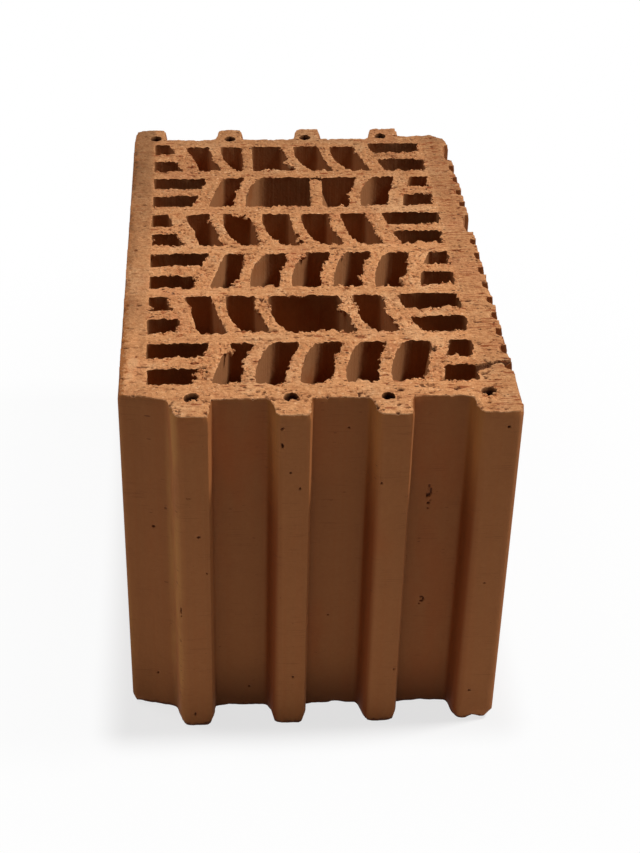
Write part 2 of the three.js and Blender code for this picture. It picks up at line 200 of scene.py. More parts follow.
# Pits in the extruded skin of the front: x, y, z, half width, half height, depth.
SKIN_PITS = [
    (18.5, 5, 151.8, 1.3, 1.1, 1.4), (96.7, -18, 226.3, 2, 1.6, 1.8), (104.6, -18, 238.6, 1.3, 1.3, 1.6),
    (97.5, -18, 238.4, 3.8, 1.2, 0.95), (46, -18, 159.1, 1.2, 0.9, 1), (44.3, -18, 159.4, 2.4, 0.6, 0.5),
    (40.8, -18, 188.9, 2.2, 0.6, 0.4), (101.9, -18, 206.6, 0.9, 0.7, 0.9), (107.3, -18, 194.9, 0.9, 1, 0.9),
    (187.8, 0, 177.4, 2.4, 4.8, 0.5), (189.6, 0, 177.6, 0.9, 3, 1), (189, 0, 174.4, 1.4, 1.4, 1.4),
    (187.8, 0, 173.6, 1.3, 1, 1.4), (186.2, 0, 177, 1, 2.8, 1), (188.4, 0, 181.4, 1.1, 2, 0.8),
    (188.7, 0, 168.2, 1.3, 0.9, 1.2), (190, 0, 170.4, 0.7, 1.2, 0.6), (188.4, 0, 164.2, 0.8, 0.7, 0.7),
    (156.4, -18, 197.3, 1, 0.9, 1.1), (137.6, 0, 226.2, 1, 0.8, 0.8), (229.9, -18, 237.3, 1.1, 1, 1.3),
    (233, -18, 227.6, 0.9, 0.9, 0.9), (33.4, -18, 99.8, 1.7, 2.5, 1.8), (33.2, -18, 95.2, 0.8, 0.8, 1),
    (18, 5, 29, 1.1, 0.8, 1.3), (41.5, -18, 11, 0.8, 2, 1.2), (77, 0, 17.7, 1.1, 0.8, 1.3),
    (105, -18, 42, 1.2, 1.2, 1.2), (110, -18, 25, 0.8, 0.7, 0.9), (51, -18, 130.3, 0.8, 0.8, 0.8),
    (189.9, 0, 90.8, 0.8, 1.4, 1.2), (188.3, 0, 89, 1.4, 0.8, 1.3), (186.7, 0, 90.6, 0.8, 1.3, 1.1),
    (188.2, 0, 92.4, 1.4, 0.8, 0.9), (187, 0, 86.6, 1, 0.7, 0.9), (208, 0, 49.4, 0.9, 0.8, 1),
    (171, -18, 46.5, 0.9, 0.9, 0.9), (222, -18, 26.5, 0.9, 0.7, 1.1), (129, 0, 78.8, 0.9, 0.7, 0.7),
    (155.5, -18, 145.3, 1.4, 0.8, 0.8), (225, -18, 118, 1, 0.8, 0.7), (10.5, 5, 241.5, 4.5, 0.5, 0.5),
    (234, -18, 200, 0.8, 0.8, 0.7),
]
# Chips out of the lower arris: x, y, radius, and how far it is broken away (below 0).
LOWER_MARKS = [
    (29.5, -18, 5, -2.6), (56.5, -18, 5, -5), (89.5, -18, 5, -3), (116.5, -18, 5, -4.2),
    (149.5, -18, 6, -3.4), (176.5, -18, 5, -4.5), (209.5, -18, 5, -3), (240, -18, 7, -5.5), (0, 5, 6, -3.5),
    (226, -18, 2.6, -4.6), (66, 0, 4, -1.4), (136, 0, 4, -1.6), (192, 0, 5, -1.2), (90, -9, 4, -2),
    (240, 16, 5, -1.6),
]


# ---------------------------------------------------------------- sizes and colours


class ClaySurfaceSettings(bpy.types.PropertyGroup):
    """How coarse, torn and pitted the clay is."""

    edge_step: FloatProperty(
        name="Edge step", description="Spacing of the points along a torn edge",
        default=1.2 * MM, min=0.5 * MM, unit="LENGTH")
    face_step: FloatProperty(
        name="Cut face step", description="Spacing of the points on the upper cut face",
        default=1.15 * MM, min=0.5 * MM, unit="LENGTH")
    bed_step: FloatProperty(
        name="Lower face step", description="Spacing of the points on the lower cut face",
        default=2.8 * MM, min=1 * MM, unit="LENGTH")
    tooth_length: FloatProperty(
        name="Tooth length", description="How far torn teeth hang over a hole",
        default=1.9 * MM, min=0, unit="LENGTH")
    bite_depth: FloatProperty(
        name="Bite depth", description="How far a broken edge is drawn back",
        default=1.1 * MM, min=0, unit="LENGTH")
    arris_loss: FloatProperty(
        name="Arris loss", description="How far the outer arris is rubbed and broken off on the keyed side",
        default=2.6 * MM, min=0, unit="LENGTH")
    face_drop: FloatProperty(
        name="Cut face drop", description="How far the mean cut face lies under the highest grain",
        default=0.5 * MM, min=0, unit="LENGTH")
    streak_depth: FloatProperty(
        name="Wire streak depth", description="Depth of the streaks that the cutting wire leaves",
        default=0.35 * MM, min=0, unit="LENGTH")
    lump_height: FloatProperty(
        name="Lump height", description="Height of the torn lumps on the narrow webs",
        default=1.05 * MM, min=0, unit="LENGTH")
    grit_height: FloatProperty(
        name="Grit height", description="Height of the loose sand grains on the cut faces",
        default=0.17 * MM, min=0, unit="LENGTH")
    pit_count: IntProperty(
        name="Pits", description="Number of pits torn out of the cut face", default=1700, min=0)
    pit_depth: FloatProperty(
        name="Pit depth", description="Depth of the deepest torn pits",
        default=1.6 * MM, min=0, unit="LENGTH")
    crumb_count: IntProperty(
        name="Crumbs", description="Number of crumbs that hang on the torn edges", default=1500, min=0)
    seed: IntProperty(name="Seed", description="Start of the repeatable random numbers", default=7)


class ClayColourSettings(bpy.types.PropertyGroup):
    """The colours of the fired clay."""

    cut: FloatVectorProperty(
        name="Cut clay", description="Sandy clay bared by the cutting wire",
        default=(0.665, 0.3, 0.123), subtype="COLOR", min=0, max=1)
    cut_pale: FloatVectorProperty(
        name="Pale cut clay", description="Yellowish patches in the cut clay",
        default=(0.735, 0.38, 0.176), subtype="COLOR", min=0, max=1)
    cut_pink: FloatVectorProperty(
        name="Pink cut clay", description="Pinkish patches in the cut clay",
        default=(0.62, 0.255, 0.108), subtype="COLOR", min=0, max=1)
    fleck: FloatVectorProperty(
        name="Fleck", description="Pale grains of sand in the cut clay",
        default=(0.88, 0.5, 0.26), subtype="COLOR", min=0, max=1)
    drag: FloatVectorProperty(
        name="Drag mark", description="Red-brown dashes where the cutting wire dragged",
        default=(0.24, 0.04, 0.008), subtype="COLOR", min=0, max=1)
    # Painted shade: this dark colour is laid into the pits, creases, crack, grooves and core holes, and also
    # colours pores and nicks
    pore_and_shade: FloatVectorProperty(
        name="Pore", description="Dark bottoms of pits and pores",
        default=(0.095, 0.028, 0.011), subtype="COLOR", min=0, max=1)
    skin: FloatVectorProperty(
        name="Extruded skin", description="Smooth outer skin left by the die",
        default=(0.37, 0.132, 0.04), subtype="COLOR", min=0, max=1)
    skin_warm: FloatVectorProperty(
        name="Warm skin", description="Redder stripes in the extruded skin",
        default=(0.385, 0.112, 0.03), subtype="COLOR", min=0, max=1)
    # Painted highlight: the yellower colour laid on outward corners, the first tongue's left side and the
    # tops of the other tongues' left sides
    wear_and_painted_light: FloatVectorProperty(
        name="Rubbed skin", description="Yellower skin on outward corners and the tops of the tongues' sides",
        default=(0.44, 0.185, 0.05), subtype="COLOR", min=0, max=1)
    # Painted shade: the dark red laid low on the left sides of the tongues that their neighbours shade
    painted_flank_shade: FloatVectorProperty(
        name="Sheltered skin", description="Dark red skin low on the tongues' sides",
        default=(0.22, 0.05, 0.008), subtype="COLOR", min=0, max=1)
    # The walls' colour near the cut faces; deeper in, painted shade takes over
    cell: FloatVectorProperty(
        name="Cell wall", description="Dusty walls of the perforations",
        default=(0.44, 0.19, 0.076), subtype="COLOR", min=0, max=1)
    # Painted shade: the darker, redder colour of the holes' walls deep inside
    cell_deep_shade: FloatVectorProperty(
        name="Deep cell wall", description="Clean red walls deep in the perforations",
        default=(0.36, 0.1, 0.028), subtype="COLOR", min=0, max=1)


class StudioSettings(bpy.types.PropertyGroup):
    """Lights and backdrop."""

    sky: FloatProperty(
        name="Sky", description="Strength of the even light from all round", default=0.02, min=0)
    key: FloatProperty(
        name="Key lamp", description="Power of the high lamp on the right", default=72.0, min=0)
    side: FloatProperty(
        name="Side lamp", description="Power of the high lamp on the left", default=7.5, min=0)
    left: FloatProperty(
        name="Left lamp", description="Power of the weak low lamp on the left", default=2.6, min=0)
    front: FloatProperty(
        name="Front lamp", description="Power of the weak low lamp in front", default=1.2, min=0)
    floor: FloatVectorProperty(
        name="Floor", description="Colour of the floor as it lights the block",
        default=(0.82, 0.82, 0.82), subtype="COLOR", min=0, max=1)


# ---------------------------------------------------------------- repeatable noise and marks


def chance(i, j, seed):
    """A repeatable number from 0 to 1 for each pair of whole numbers: the pair is hashed by odd factors."""
    n = (i.astype(np.int64) * 374761393 + j.astype(np.int64) * 668265263 + seed * 974634777) & 0xFFFFFFFF
    n = ((n ^ (n >> 13)) * 1274126177) & 0xFFFFFFFF
    return ((n ^ (n >> 16)) & 0xFFFF) / 65535.0


def noise(x, y, cell_x, cell_y, seed):
    """Smooth noise from -1 to 1: a cell's four corner numbers, blended by 3t^2 - 2t^3 along each side."""
    u, v = x / cell_x, y / cell_y
    i, j = np.floor(u), np.floor(v)
    s, t = u - i, v - j
    s, t = s * s * (3 - 2 * s), t * t * (3 - 2 * t)
    near = chance(i, j, seed) * (1 - s) + chance(i + 1, j, seed) * s
    far = chance(i, j + 1, seed) * (1 - s) + chance(i + 1, j + 1, seed) * s
    return (near * (1 - t) + far * t) * 2 - 1


def noises(x, y, seed, *layers):
    """The sum of layers of noise (weight, cell along x and y), each with the next seed."""
    return sum(weight * noise(x, y, *cell, seed + k) for k, (weight, *cell) in enumerate(layers))


def ramp(value, low, high):
    """0 below low, 1 above high, and 3t^2 - 2t^3 between them."""
    t = np.clip((value - low) / (high - low), 0, 1)
    return t * t * (3 - 2 * t)


def placed(table):
    """A table's rows with x and y counted from the block's middle."""
    rows = np.array(table, float)
    rows[:, 0] -= HALF_WIDTH
    rows[:, 1] += GROOVE_FLOOR
    return rows


def nearness(x, y, spots):
    """How near each place is to the nearest spot (x, y, radius): 1 at its middle, 0 past 1.5 radii."""
    sx, sy, r = placed(spots).T
    return ramp(-np.min(np.hypot(x[:, None] - sx, y[:, None] - sy) / r, axis=1), -1.5, -0.4)


def bells(x, y, marks):
    """The sum of the marks (x, y, half width along x and y, height), each a bell e^-(gap / half width)^2."""
    total = np.zeros_like(x)
    for mx, my, wide, long, height in marks:
        total += height * np.exp(-(((x - mx) / wide) ** 2) - ((y - my) / long) ** 2)
    return total


def round_bells(x, y, table):
    """The same for a table of round marks (x, y, radius, height)."""
    mx, my, radius, height = placed(table).T
    return bells(x, y, np.column_stack((mx, my, radius, radius, height)))


# ---------------------------------------------------------------- the block's section


def ring_places(after):
    """For rings given as the next point of each point: each point's ring and its place in that ring.
    Jumps double until every point has seen its whole ring; the ring's lowest number is its start."""
    number = np.arange(len(after))
    first, jump = number.copy(), after.copy()
    for _ in range(len(after).bit_length()):
        first, jump = np.minimum(first, first[jump]), jump[jump]
    steps, jump = (number != first).astype(int), np.where(number == first, number, after)
    for _ in range(len(after).bit_length()):
        steps, jump = steps + steps[jump], jump[jump]
    size = np.bincount(first, minlength=len(after))[first]
    return first, (size - steps) % size


def section_rings(node):
    """The rings where a node's flat top meets its walls, in mm, walked with the clay on the left.
    They are the top triangles' sides that no other top triangle walks the other way."""
    mesh = node.data
    mesh.calc_loop_triangles()
    place = np.empty(len(mesh.vertices) * 3, np.float32)
    mesh.vertices.foreach_get("co", place)
    corner = np.empty(len(mesh.loop_triangles) * 3, np.int32)
    mesh.loop_triangles.foreach_get("vertices", corner)
    place, same = np.unique(np.round(place.reshape(-1, 3) / MM, 3), axis=0, return_inverse=True)
    corner = same.ravel()[corner].reshape(-1, 3)
    top = corner[(place[corner][:, :, 2] > HEIGHT - 0.01).all(axis=1)]
    start, end = top.ravel(), np.roll(top, -1, axis=1).ravel()
    count = len(place)
    rim = ~np.isin(start * count + end, end * count + start)
    order = np.argsort(start[rim])
    start, end = start[rim][order], end[rim][order]
    ring, step = ring_places(np.searchsorted(start, end))
    order = np.lexsort((step, ring))
    return place[start[order]][:, :2], np.unique(ring[order], return_inverse=True)[1].ravel()


def next_in_ring(ring):
    """The index of the next point of each point, where rings are stored one after the other."""
    index = np.arange(len(ring))
    first = np.searchsorted(ring, ring)
    last = np.searchsorted(ring, ring, side="right") - 1
    return np.where(index == last, first, index + 1)


class Outline:
    """The section's rings with each straight piece divided into equal steps no longer than step.

    corner are the given corners, begin the divided point on each, parts the steps of each piece. place, ring,
    after and before are the divided points, side the piece a point starts on, part its number on that piece,
    away the unit direction out of the clay, taken over two neighbours each way, turn how sharply the ring
    turns to the left there, 1 for a right angle, and bend the same without its sign. outer marks the outer
    ring, and tiny the core holes."""

    def __init__(self, corner, corner_ring, step):
        self.corner, self.corner_after = corner, next_in_ring(corner_ring)
        run = corner[self.corner_after] - corner
        self.parts = np.maximum(1, np.ceil(np.hypot(*run.T) / step)).astype(int)
        self.begin = np.concatenate(([0], np.cumsum(self.parts)[:-1]))
        self.side = np.repeat(np.arange(len(corner)), self.parts)
        self.part = np.arange(len(self.side)) - self.begin[self.side]
        self.place = corner[self.side] + run[self.side] * (self.part / self.parts[self.side])[:, None]
        self.ring = corner_ring[self.side]
        self.after = next_in_ring(self.ring)
        self.before = np.empty_like(self.after)
        self.before[self.after] = np.arange(len(self.after))
        ahead = self.place[self.after[self.after]] - self.place
        behind = self.place - self.place[self.before[self.before]]
        ahead /= np.hypot(*ahead.T)[:, None] + 1e-9
        behind /= np.hypot(*behind.T)[:, None] + 1e-9
        self.turn = behind[:, 0] * ahead[:, 1] - behind[:, 1] * ahead[:, 0]
        self.bend = np.abs(self.turn)
        along = ahead + behind
        along /= np.hypot(*along.T)[:, None] + 1e-9
        self.away = np.column_stack((along[:, 1], -along[:, 0]))
        outer_ring = self.ring[np.argmax(self.place[:, 1])]
        self.outer = self.ring == outer_ring
        self.corner_outer = corner_ring == outer_ring
        rings = range(corner_ring.max() + 1)
        narrow = np.array([np.ptp(corner[corner_ring == ring], axis=0).max() < CORE_SIZE for ring in rings])
        self.tiny, self.corner_tiny = narrow[self.ring], narrow[corner_ring]


class ClayMap:
    """A grid of small square cells over the section that knows which cells are clay and how far each is
    from the rim. A cell is clay if a line from the left has crossed the rim an odd number of times. The
    distance is measured to the rim's points for the cells next to them and then spreads cell by cell."""

    def __init__(self, place, after, cell=0.6, reach=12):
        self.low, self.cell = place.min(axis=0) - 3 * cell, cell
        shape = np.ceil((place.max(axis=0) - self.low) / cell).astype(int)[::-1] + 3
        p, q = (place - self.low) / cell - 0.5, (place[after] - self.low) / cell - 0.5
        first = np.ceil(np.minimum(p[:, 1], q[:, 1])).astype(int)
        rows = np.ceil(np.maximum(p[:, 1], q[:, 1])).astype(int) - first
        side = np.repeat(np.arange(len(p)), rows)
        row = first[side] + np.arange(len(side)) - np.repeat(np.cumsum(rows) - rows, rows)
        share = (row - p[side, 1]) / (q[side, 1] - p[side, 1])
        column = np.ceil(p[side, 0] + share * (q[side, 0] - p[side, 0])).astype(int)
        crossed = np.zeros(shape, int)
        np.add.at(crossed, (row, column), 1)
        self.clay = np.cumsum(crossed, axis=1) % 2 == 1
        self.rim = np.full(shape, 99.0)
        near = np.round(p).astype(int)
        for i in (-2, -1, 0, 1, 2):
            for j in (-2, -1, 0, 1, 2):
                gap = np.hypot(*(near + (i, j) - p).T) * cell
                np.minimum.at(self.rim, (near[:, 1] + j, near[:, 0] + i), gap)
        for _ in range(reach):
            for axis in (0, 1):
                for way in (-1, 1):
                    self.rim = np.minimum(self.rim, np.roll(self.rim, way, axis) + cell)

    def read(self, grid, x, y):
        """The value that a grid of the map has at each place."""
        column = np.round((x - self.low[0]) / self.cell - 0.5).astype(int)
        row = np.round((y - self.low[1]) / self.cell - 0.5).astype(int)
        return grid[row.clip(0, grid.shape[0] - 1), column.clip(0, grid.shape[1] - 1)]


def shaken_grid(step, dice):
    """Rows of places over the whole block, a step apart in their row, every other row shifted by half a step
    and each place shaken by up to a quarter step."""
    across = np.arange(-HALF_WIDTH, HALF_WIDTH, step)
    along = np.arange(-HALF_LENGTH, HALF_LENGTH, step * ROW_SPACING)
    x, y = np.meshgrid(across, along)
    x[1::2] += step / 2
    shake = dice.uniform(-0.25, 0.25, (2, x.size)) * step
    return x.ravel() + shake[0], y.ravel() + shake[1]


def inner_places(clay_map, step, seed, fine_step):
    """Places in the clay for a cut face, closer together at the crack and pits and none too near the rim."""
    dice = np.random.default_rng(seed)
    kept = []
    for spacing, is_fine in ((step, False), (fine_step, True)):
        x, y = shaken_grid(spacing, dice)
        at_pit = bells(x, y, placed(BED_PITS) + (0, 0, 0.5, 0.5, 0)) > 0.2
        at_mark = at_pit | (crack_depth(x, y, margin=1.5) > 0)
        keep = clay_map.read(clay_map.clay, x, y) & (at_mark == is_fine)
        keep &= clay_map.read(clay_map.rim, x, y) > RIM_SPACING * spacing
        kept.append(np.column_stack((x[keep], y[keep])))
    return np.vstack(kept)


def web_share(x, y, outline):
    """How much a place lies on a narrow web between cells of a row, and not on a web between rows:
    1 between a cell's front and back, 0 a millimetre outside them."""
    share = np.zeros_like(x)
    for ring in np.unique(outline.ring[~outline.outer]):
        own = outline.place[outline.ring == ring]
        front, back = own[:, 1].min(), own[:, 1].max()
        if back - front > CELL_DEPTH:
            share = np.maximum(share, ramp(y, front - 1, front + 1) * (1 - ramp(y, back - 1, back + 1)))
    return share * (1 - ramp(np.abs(x), *WEB_REACH))


# ---------------------------------------------------------------- torn edges and cut faces


def torn_reach(outline, settings, size, marks):
    """How far each point of a cut edge hangs out over the hole (tooth) and is broken back (bite), in mm.
    The wire drags clay to the left and the back, so the edges that face that way tear: raggedness rises with
    the cosine between the way out of the clay and the drag. Teeth and bites are the tops of fine noise, with
    the marks added. The outer arris has no teeth, and loses most on the keyed side."""
    x, y = outline.place.T
    faces_drag = outline.away @ WIRE_DRAG
    ragged = 0.14 + 0.86 * ramp(faces_drag, -0.15, 0.75)
    ragged = ragged * (0.5 + 0.7 * ramp(noise(x, y, 17, 17, 3), -0.6, 0.6))
    ragged = (ragged + 0.6 * nearness(x, y, TORN_SPOTS)) / (1 + 2.5 * outline.bend)
    tooth = ramp(noises(x, y, 11, (1, 2.4, 2.4), (0.45, 1.5, 1.5)), 0.0, 1.0)
    tooth += 0.8 * ramp(noise(x, y, 6.5, 6.5, 13), 0.35, 0.95)
    bite = ramp(noises(x, y, 14, (1, 4.1, 4.1), (0.4, 1.7, 1.7)), 0.1, 1.1)
    fine = 0.18 * noise(x, y, 1.5, 1.5, 16)
    tooth = tooth * ragged * settings.tooth_length / MM * size
    bite = bite * (0.3 + 0.7 * ragged) * settings.bite_depth / MM * size
    mark = round_bells(x, y, marks) * (0.72 + 0.5 * ramp(noise(x, y, 2.2, 2.2, 17), -0.5, 0.5))
    mark = np.where(mark > 0, mark / (1 + 1.5 * outline.bend), mark)
    keyed, smooth = ramp(outline.away[:, 0], 0.3, 0.9), ramp(-outline.away[:, 0], 0.3, 0.9)
    loss = settings.arris_loss / MM * size * (0.26 + 0.75 * keyed + 0.2 * smooth)
    jagged = 0.65 + noises(x, y, 18, (0.5, 7, 7), (0.65, 2.4, 2.4))
    loss = loss * jagged.clip(0.1, 2) + 0.1
    tooth = np.where(outline.outer, 0.0, tooth + fine + np.maximum(mark, 0))
    bite = np.where(outline.outer, loss, bite) + np.maximum(-mark, 0)
    bite = bite / (1 + np.where(outline.outer, 0.9, 0.3) * outline.bend)
    bite = (bite[outline.before] + 2 * bite + bite[outline.after]) / 4
    ragged = np.where(outline.outer, 0.5, np.maximum(ragged, ramp(np.abs(mark), 0.3, 1.2)))
    return tooth, bite, ragged


def crack_depth(x, y, margin=0.0):
    """Depth of the crack at each place: full along its middle and 0 at its half width, which the margin
    widens, by 1 - (gap / half width)^2."""
    deep = np.zeros_like(x)
    line = placed(CRACK)
    for (ax, ay, aw, ad), (bx, by, bw, bd) in zip(line, line[1:]):
        run = np.array((bx - ax, by - ay))
        t = np.clip(((x - ax) * run[0] + (y - ay) * run[1]) / (run @ run), 0, 1)
        gap = np.hypot(x - ax - t * run[0], y - ay - t * run[1]) / (aw + t * (bw - aw) + margin)
        deep = np.maximum(deep, (ad + t * (bd - ad)) * (1 - gap**2))
    return deep


def random_pits(settings, seed):
    """Torn pits all over a cut face: x, y, half width along x and y, depth. Most are longer along x."""
    dice = np.random.default_rng(settings.seed + seed)
    count = settings.pit_count
    x = dice.uniform(-HALF_WIDTH, HALF_WIDTH, count)
    y = dice.uniform(-HALF_LENGTH, HALF_LENGTH, count)
    long = 0.7 + 3.6 * dice.random(count) ** 2.5
    wide = 0.45 + 0.55 * dice.random(count) ** 3
    deep = settings.pit_depth / MM * (0.3 + 0.7 * dice.random(count) ** 2)
    return np.column_stack((x, y, np.maximum(long, wide), wide, deep))


def cut_relief(x, y, rim, web, settings, seed, upper):
    """Height of a cut face over its mean plane, and how deep in a pit each place lies, in mm:
    broad waves - streaks along x left by the wire + torn lumps, which are stronger on webs between cells
    and meet in creases + grit - a rounding that fades in from the rim - pits, each e^-(gap / size)^3 of its
    depth. The upper face also has the listed pits and the crack."""
    wave = noises(x, y, seed, (0.22, 46, 30), (0.12, 13, 9))
    streak = noises(x, y, seed + 2, (1, 24, 2.3), (0.6, 11, 1.5))
    lump = 1.6 * np.abs(noise(x, y, 3.6, 3.0, seed + 4))
    lump = lump + 1.1 * np.abs(noise(x, y, 2.3, 1.9, seed + 5)) - 0.9
    grit = noises(x, y, seed + 6, (1, 1.5, 1.3), (0.6, 0.9, 0.9))
    torn = nearness(x, y, TORN_SPOTS)
    height = wave - settings.streak_depth / MM * ramp(streak, 0.2, 1.2) * (1.1 - 0.7 * web)
    height += settings.lump_height / MM * lump * (0.22 + 0.78 * web + 0.9 * torn)
    height += settings.grit_height / MM * grit
    height -= 0.35 * np.exp(-rim / 0.9)
    pits = random_pits(settings, seed)
    if upper:
        pits = np.vstack((pits, placed(BED_PITS)))
    # painted shade: the creases between low lumps get a hollow value, which the materials darken, besides a
    # slight dip
    hollow = 0.7 * ramp(-lump, 0.5, 0.9) * (0.3 + 0.7 * web + 0.5 * torn)
    for some in np.array_split(pits, 30):
        gap = ((x[:, None] - some[:, 0]) / some[:, 2]) ** 2 + ((y[:, None] - some[:, 1]) / some[:, 3]) ** 2
        hollow = np.maximum(hollow, np.max(some[:, 4] * np.exp(-(gap**1.5)), axis=1))
    # painted shade: the crack's depth, up to 1.12 mm, is also kept in hollow and darkens its slopes
    crack = crack_depth(x, y) if upper else 0.0
    return height - np.maximum(hollow, crack), np.maximum(hollow, np.minimum(crack, 1.12))


def bed_tone(x, y, rim):
    """How much paler (above 0) or duller (below 0) the clay is: the patches, pale rims, duller margins, a
    darkening toward the back that is partly the clay's colour and partly painted shade, and dark blotches
    where the smooth side's arris is worn."""
    left, back = x + HALF_WIDTH, y - GROOVE_FLOOR
    tone = bells(x, y, placed(TONE_PATCHES))
    # partly painted shade and partly the clay's colour: the margin and the whole face grow darker toward the
    # back, where the light falls off
    duller = 0.08 + 0.1 * ramp(back, 20, 90) + 0.12 * ramp(back, 150, 250)
    tone -= (1 - ramp(left, *LEFT_MARGIN)) * duller + 0.15 * ramp(left, 216, 221)
    tone -= 0.2 * ramp(back, 150, 330) + 0.08 * ramp(back, 343, 350) * ramp(left, 4, 30)
    # real wear: dark blotches on the worn arris of the smooth side
    wear_and_painted_light = (1 - ramp(left, 1.5, 4.5)) * ramp(noises(x, y, 61, (1, 5, 9), (0.5, 2, 3)), -0.4, 0.5)
    return tone - 0.3 * wear_and_painted_light + 0.05 * noise(x, y, 20, 12, 63) + 0.1 * np.exp(-rim / 0.6)


# ---------------------------------------------------------------- putting the surface together


def held_triangles(points, edges, faces, fault):
    """The triangles of a Delaunay mesh over the points, held to the edges and to the faces' sides, and the
    faces that each lies in. The fault is raised where the mesh needs a point of its own."""
    vectors = [Vector(point) for point in points.tolist()]
    corners, _, triangles, origin, _, inside = delaunay_2d_cdt(vectors, edges, faces, 0, 1e-5, True)
    if len(corners) != len(points):
        raise RuntimeError(fault)
    return np.array([source[0] for source in origin])[np.array(triangles)], inside


def cap_triangles(place, after, ring, inner):
    """The triangles of a flat face over the rings' points and the inner places, in the outer ring and in
    no hole."""
    x, y = place.T
    rings = [np.flatnonzero(ring == r) for r in np.unique(ring)]
    area = [np.sum(x[r] * y[after[r]] - x[after[r]] * y[r]) for r in rings]
    faces = [(r if a > 0 else r[::-1]).tolist() for r, a in zip(rings, area)]
    fault = "torn edges cross: shorten the teeth"
    triangles, inside = held_triangles(np.vstack((place, inner)), [], faces, fault)
    outer = [int(np.argmax(area))]
    return triangles[[faces_here == outer for faces_here in inside]]


def band(upper, lower, after):
    """Two triangles for each step between an upper and a lower ring with like points."""
    here = np.arange(len(after))
    return np.vstack((
        np.column_stack((upper + here, lower + here, lower + after)),
        np.column_stack((upper + here, lower + after, upper + after)),
    ))


def step_down(outline, fine, coarse, fine_above):
    """Triangles between a divided ring and the ring of corners, for the holes: each fine step's triangle has
    its tip on the nearer corner of its piece, and one triangle a piece closes the gap in the middle."""
    here = np.arange(len(outline.after))
    first_half = outline.part < np.ceil(outline.parts[outline.side] / 2)
    tip = coarse + np.where(first_half, outline.side, outline.corner_after[outline.side])
    fans = np.column_stack((fine + here, tip, fine + outline.after))[~outline.outer]
    middle = outline.begin + np.ceil(outline.parts / 2).astype(int) - 1
    corner = np.arange(len(outline.corner))
    gaps = np.column_stack((fine + outline.after[middle], coarse + corner, coarse + outline.corner_after))
    both = np.vstack((fans, gaps[~outline.corner_outer]))
    return both if fine_above else both[:, [1, 0, 2]]


def torn_end(outline, settings, depths, level, inward, size, seed, step):
    """The cut face and the torn end of the walls at one end of the block: the places in mm, their hollow,
    tone, rub and core, the cut face's triangles, the raggedness and bite along the edge, and the height where
    the walls are clean. level is the end's height, inward the sign of the way into the block, and size the
    strength of the tearing. Each ring of the wall lies deeper, on the line from the torn edge to the clean
    wall, with its share of tooth and bite."""
    upper = inward < 0
    tooth, bite, ragged = torn_reach(outline, settings, size, EDGE_MARKS if upper else LOWER_MARKS)
    reach = [tooth * tooth_share - bite * bite_share for _, tooth_share, bite_share in depths]
    rings = [outline.place + outline.away * out[:, None] for out in reach]
    clay_map = ClayMap(rings[0], outline.after)
    inner = inner_places(clay_map, step, settings.seed + seed, FINE_STEP if upper else step)
    x, y = np.vstack((rings[0], inner)).T
    count = len(outline.place)
    rim = np.concatenate((np.zeros(count), clay_map.read(clay_map.rim, *inner.T)))
    relief, hollow = cut_relief(x, y, rim, web_share(x, y, outline), settings, seed, upper)
    tone = bed_tone(x, y, rim)
    drop = settings.face_drop / MM
    fall = np.maximum(drop - relief * size, 0.0)
    deepest = depths[-1][0] * WALL_REACH
    clean = level + inward * (drop + deepest)
    places = [np.column_stack((rings[0], level + inward * fall[:count]))]
    values = [np.column_stack((hollow[:count], tone[:count]))]
    for (depth, _, _), ring in zip(depths[1:], rings[1:]):
        share = depth / deepest
        z = level + inward * (fall[:count] * (1 - share) + (drop + deepest) * share)
        places.append(np.column_stack((ring, z)))
        values.append(np.column_stack((hollow[:count] * ~outline.outer, tone[:count])) * (1 - share))
    places.append(np.column_stack((inner, level + inward * fall[count:])))
    values.append(np.column_stack((hollow[count:], tone[count:])))
    on_rings = np.tile(np.column_stack((wear_and_painted_light(outline), outline.tiny)), (len(depths), 1))
    values = np.column_stack((np.vstack(values), np.vstack((on_rings, np.zeros_like(inner)))))
    face = cap_triangles(rings[0], outline.after, outline.ring, inner)
    face = np.where(face < count, face, face + count * (len(depths) - 1))
    return np.vstack(places), values, face, ragged, bite, clean


def wear_and_painted_light(outline):
    """Painted light on each point's skin: a painted highlight above 0, on outward corners and the first
    tongue's left side, and painted shade below 0, on the left sides of the other tongues, which their
    neighbours shade."""
    x, y = outline.place[:, 0] + HALF_WIDTH, outline.place[:, 1] - GROOVE_FLOOR
    pale = ramp(outline.turn, 0.25, 0.8) * np.where(outline.away[:, 0] > 0.2, 0.0, 0.4)
    left_flank = ramp(-outline.away[:, 0], 0.2, 0.75) * (y < 1) * (x > 5)
    # painted shade on the left sides of the tongues past 60 mm, painted highlight on the first tongue's
    share = np.where(x > 60, -1.0, 0.8)
    return np.where(outline.outer, np.where(left_flank > 0.3, share * left_flank, pale), 0.0)


def way_along(outline, points, start):
    """How far along the outer ring each of its points lies, in mm from its first corner."""
    corner = outline.side[points] - np.flatnonzero(outline.corner_outer)[0]
    share = outline.part[points] / outline.parts[outline.side[points]]
    return start[corner] + (start[corner + 1] - start[corner]) * share


def strip_triangles(flat, parts, bed_corner, top_corner):
    """The triangles of the unrolled skin over all its points: lower ring, upper ring, lower row, upper row,
    and the rest, held to its border and to an upright fold at each corner."""
    m, n = len(parts[0]), len(parts[1])
    low, high, low_row, high_row = 0, m, m + n, m + n + m
    border = [*range(m), low_row + m - 1, high_row + n - 1, *range(high + n - 1, high - 1, -1)]
    border += [high_row, low_row]
    below, above = bed_corner[1:], top_corner[1:]
    levels = (low + below, low_row + below, high_row + above, high + above)
    folds = np.vstack([np.column_stack(pair) for pair in zip(levels, levels[1:])]).tolist()
    triangles, inside = held_triangles(flat, folds, [border], "pits in the skin lie on each other")
    return triangles[[len(faces_here) > 0 for faces_here in inside]]


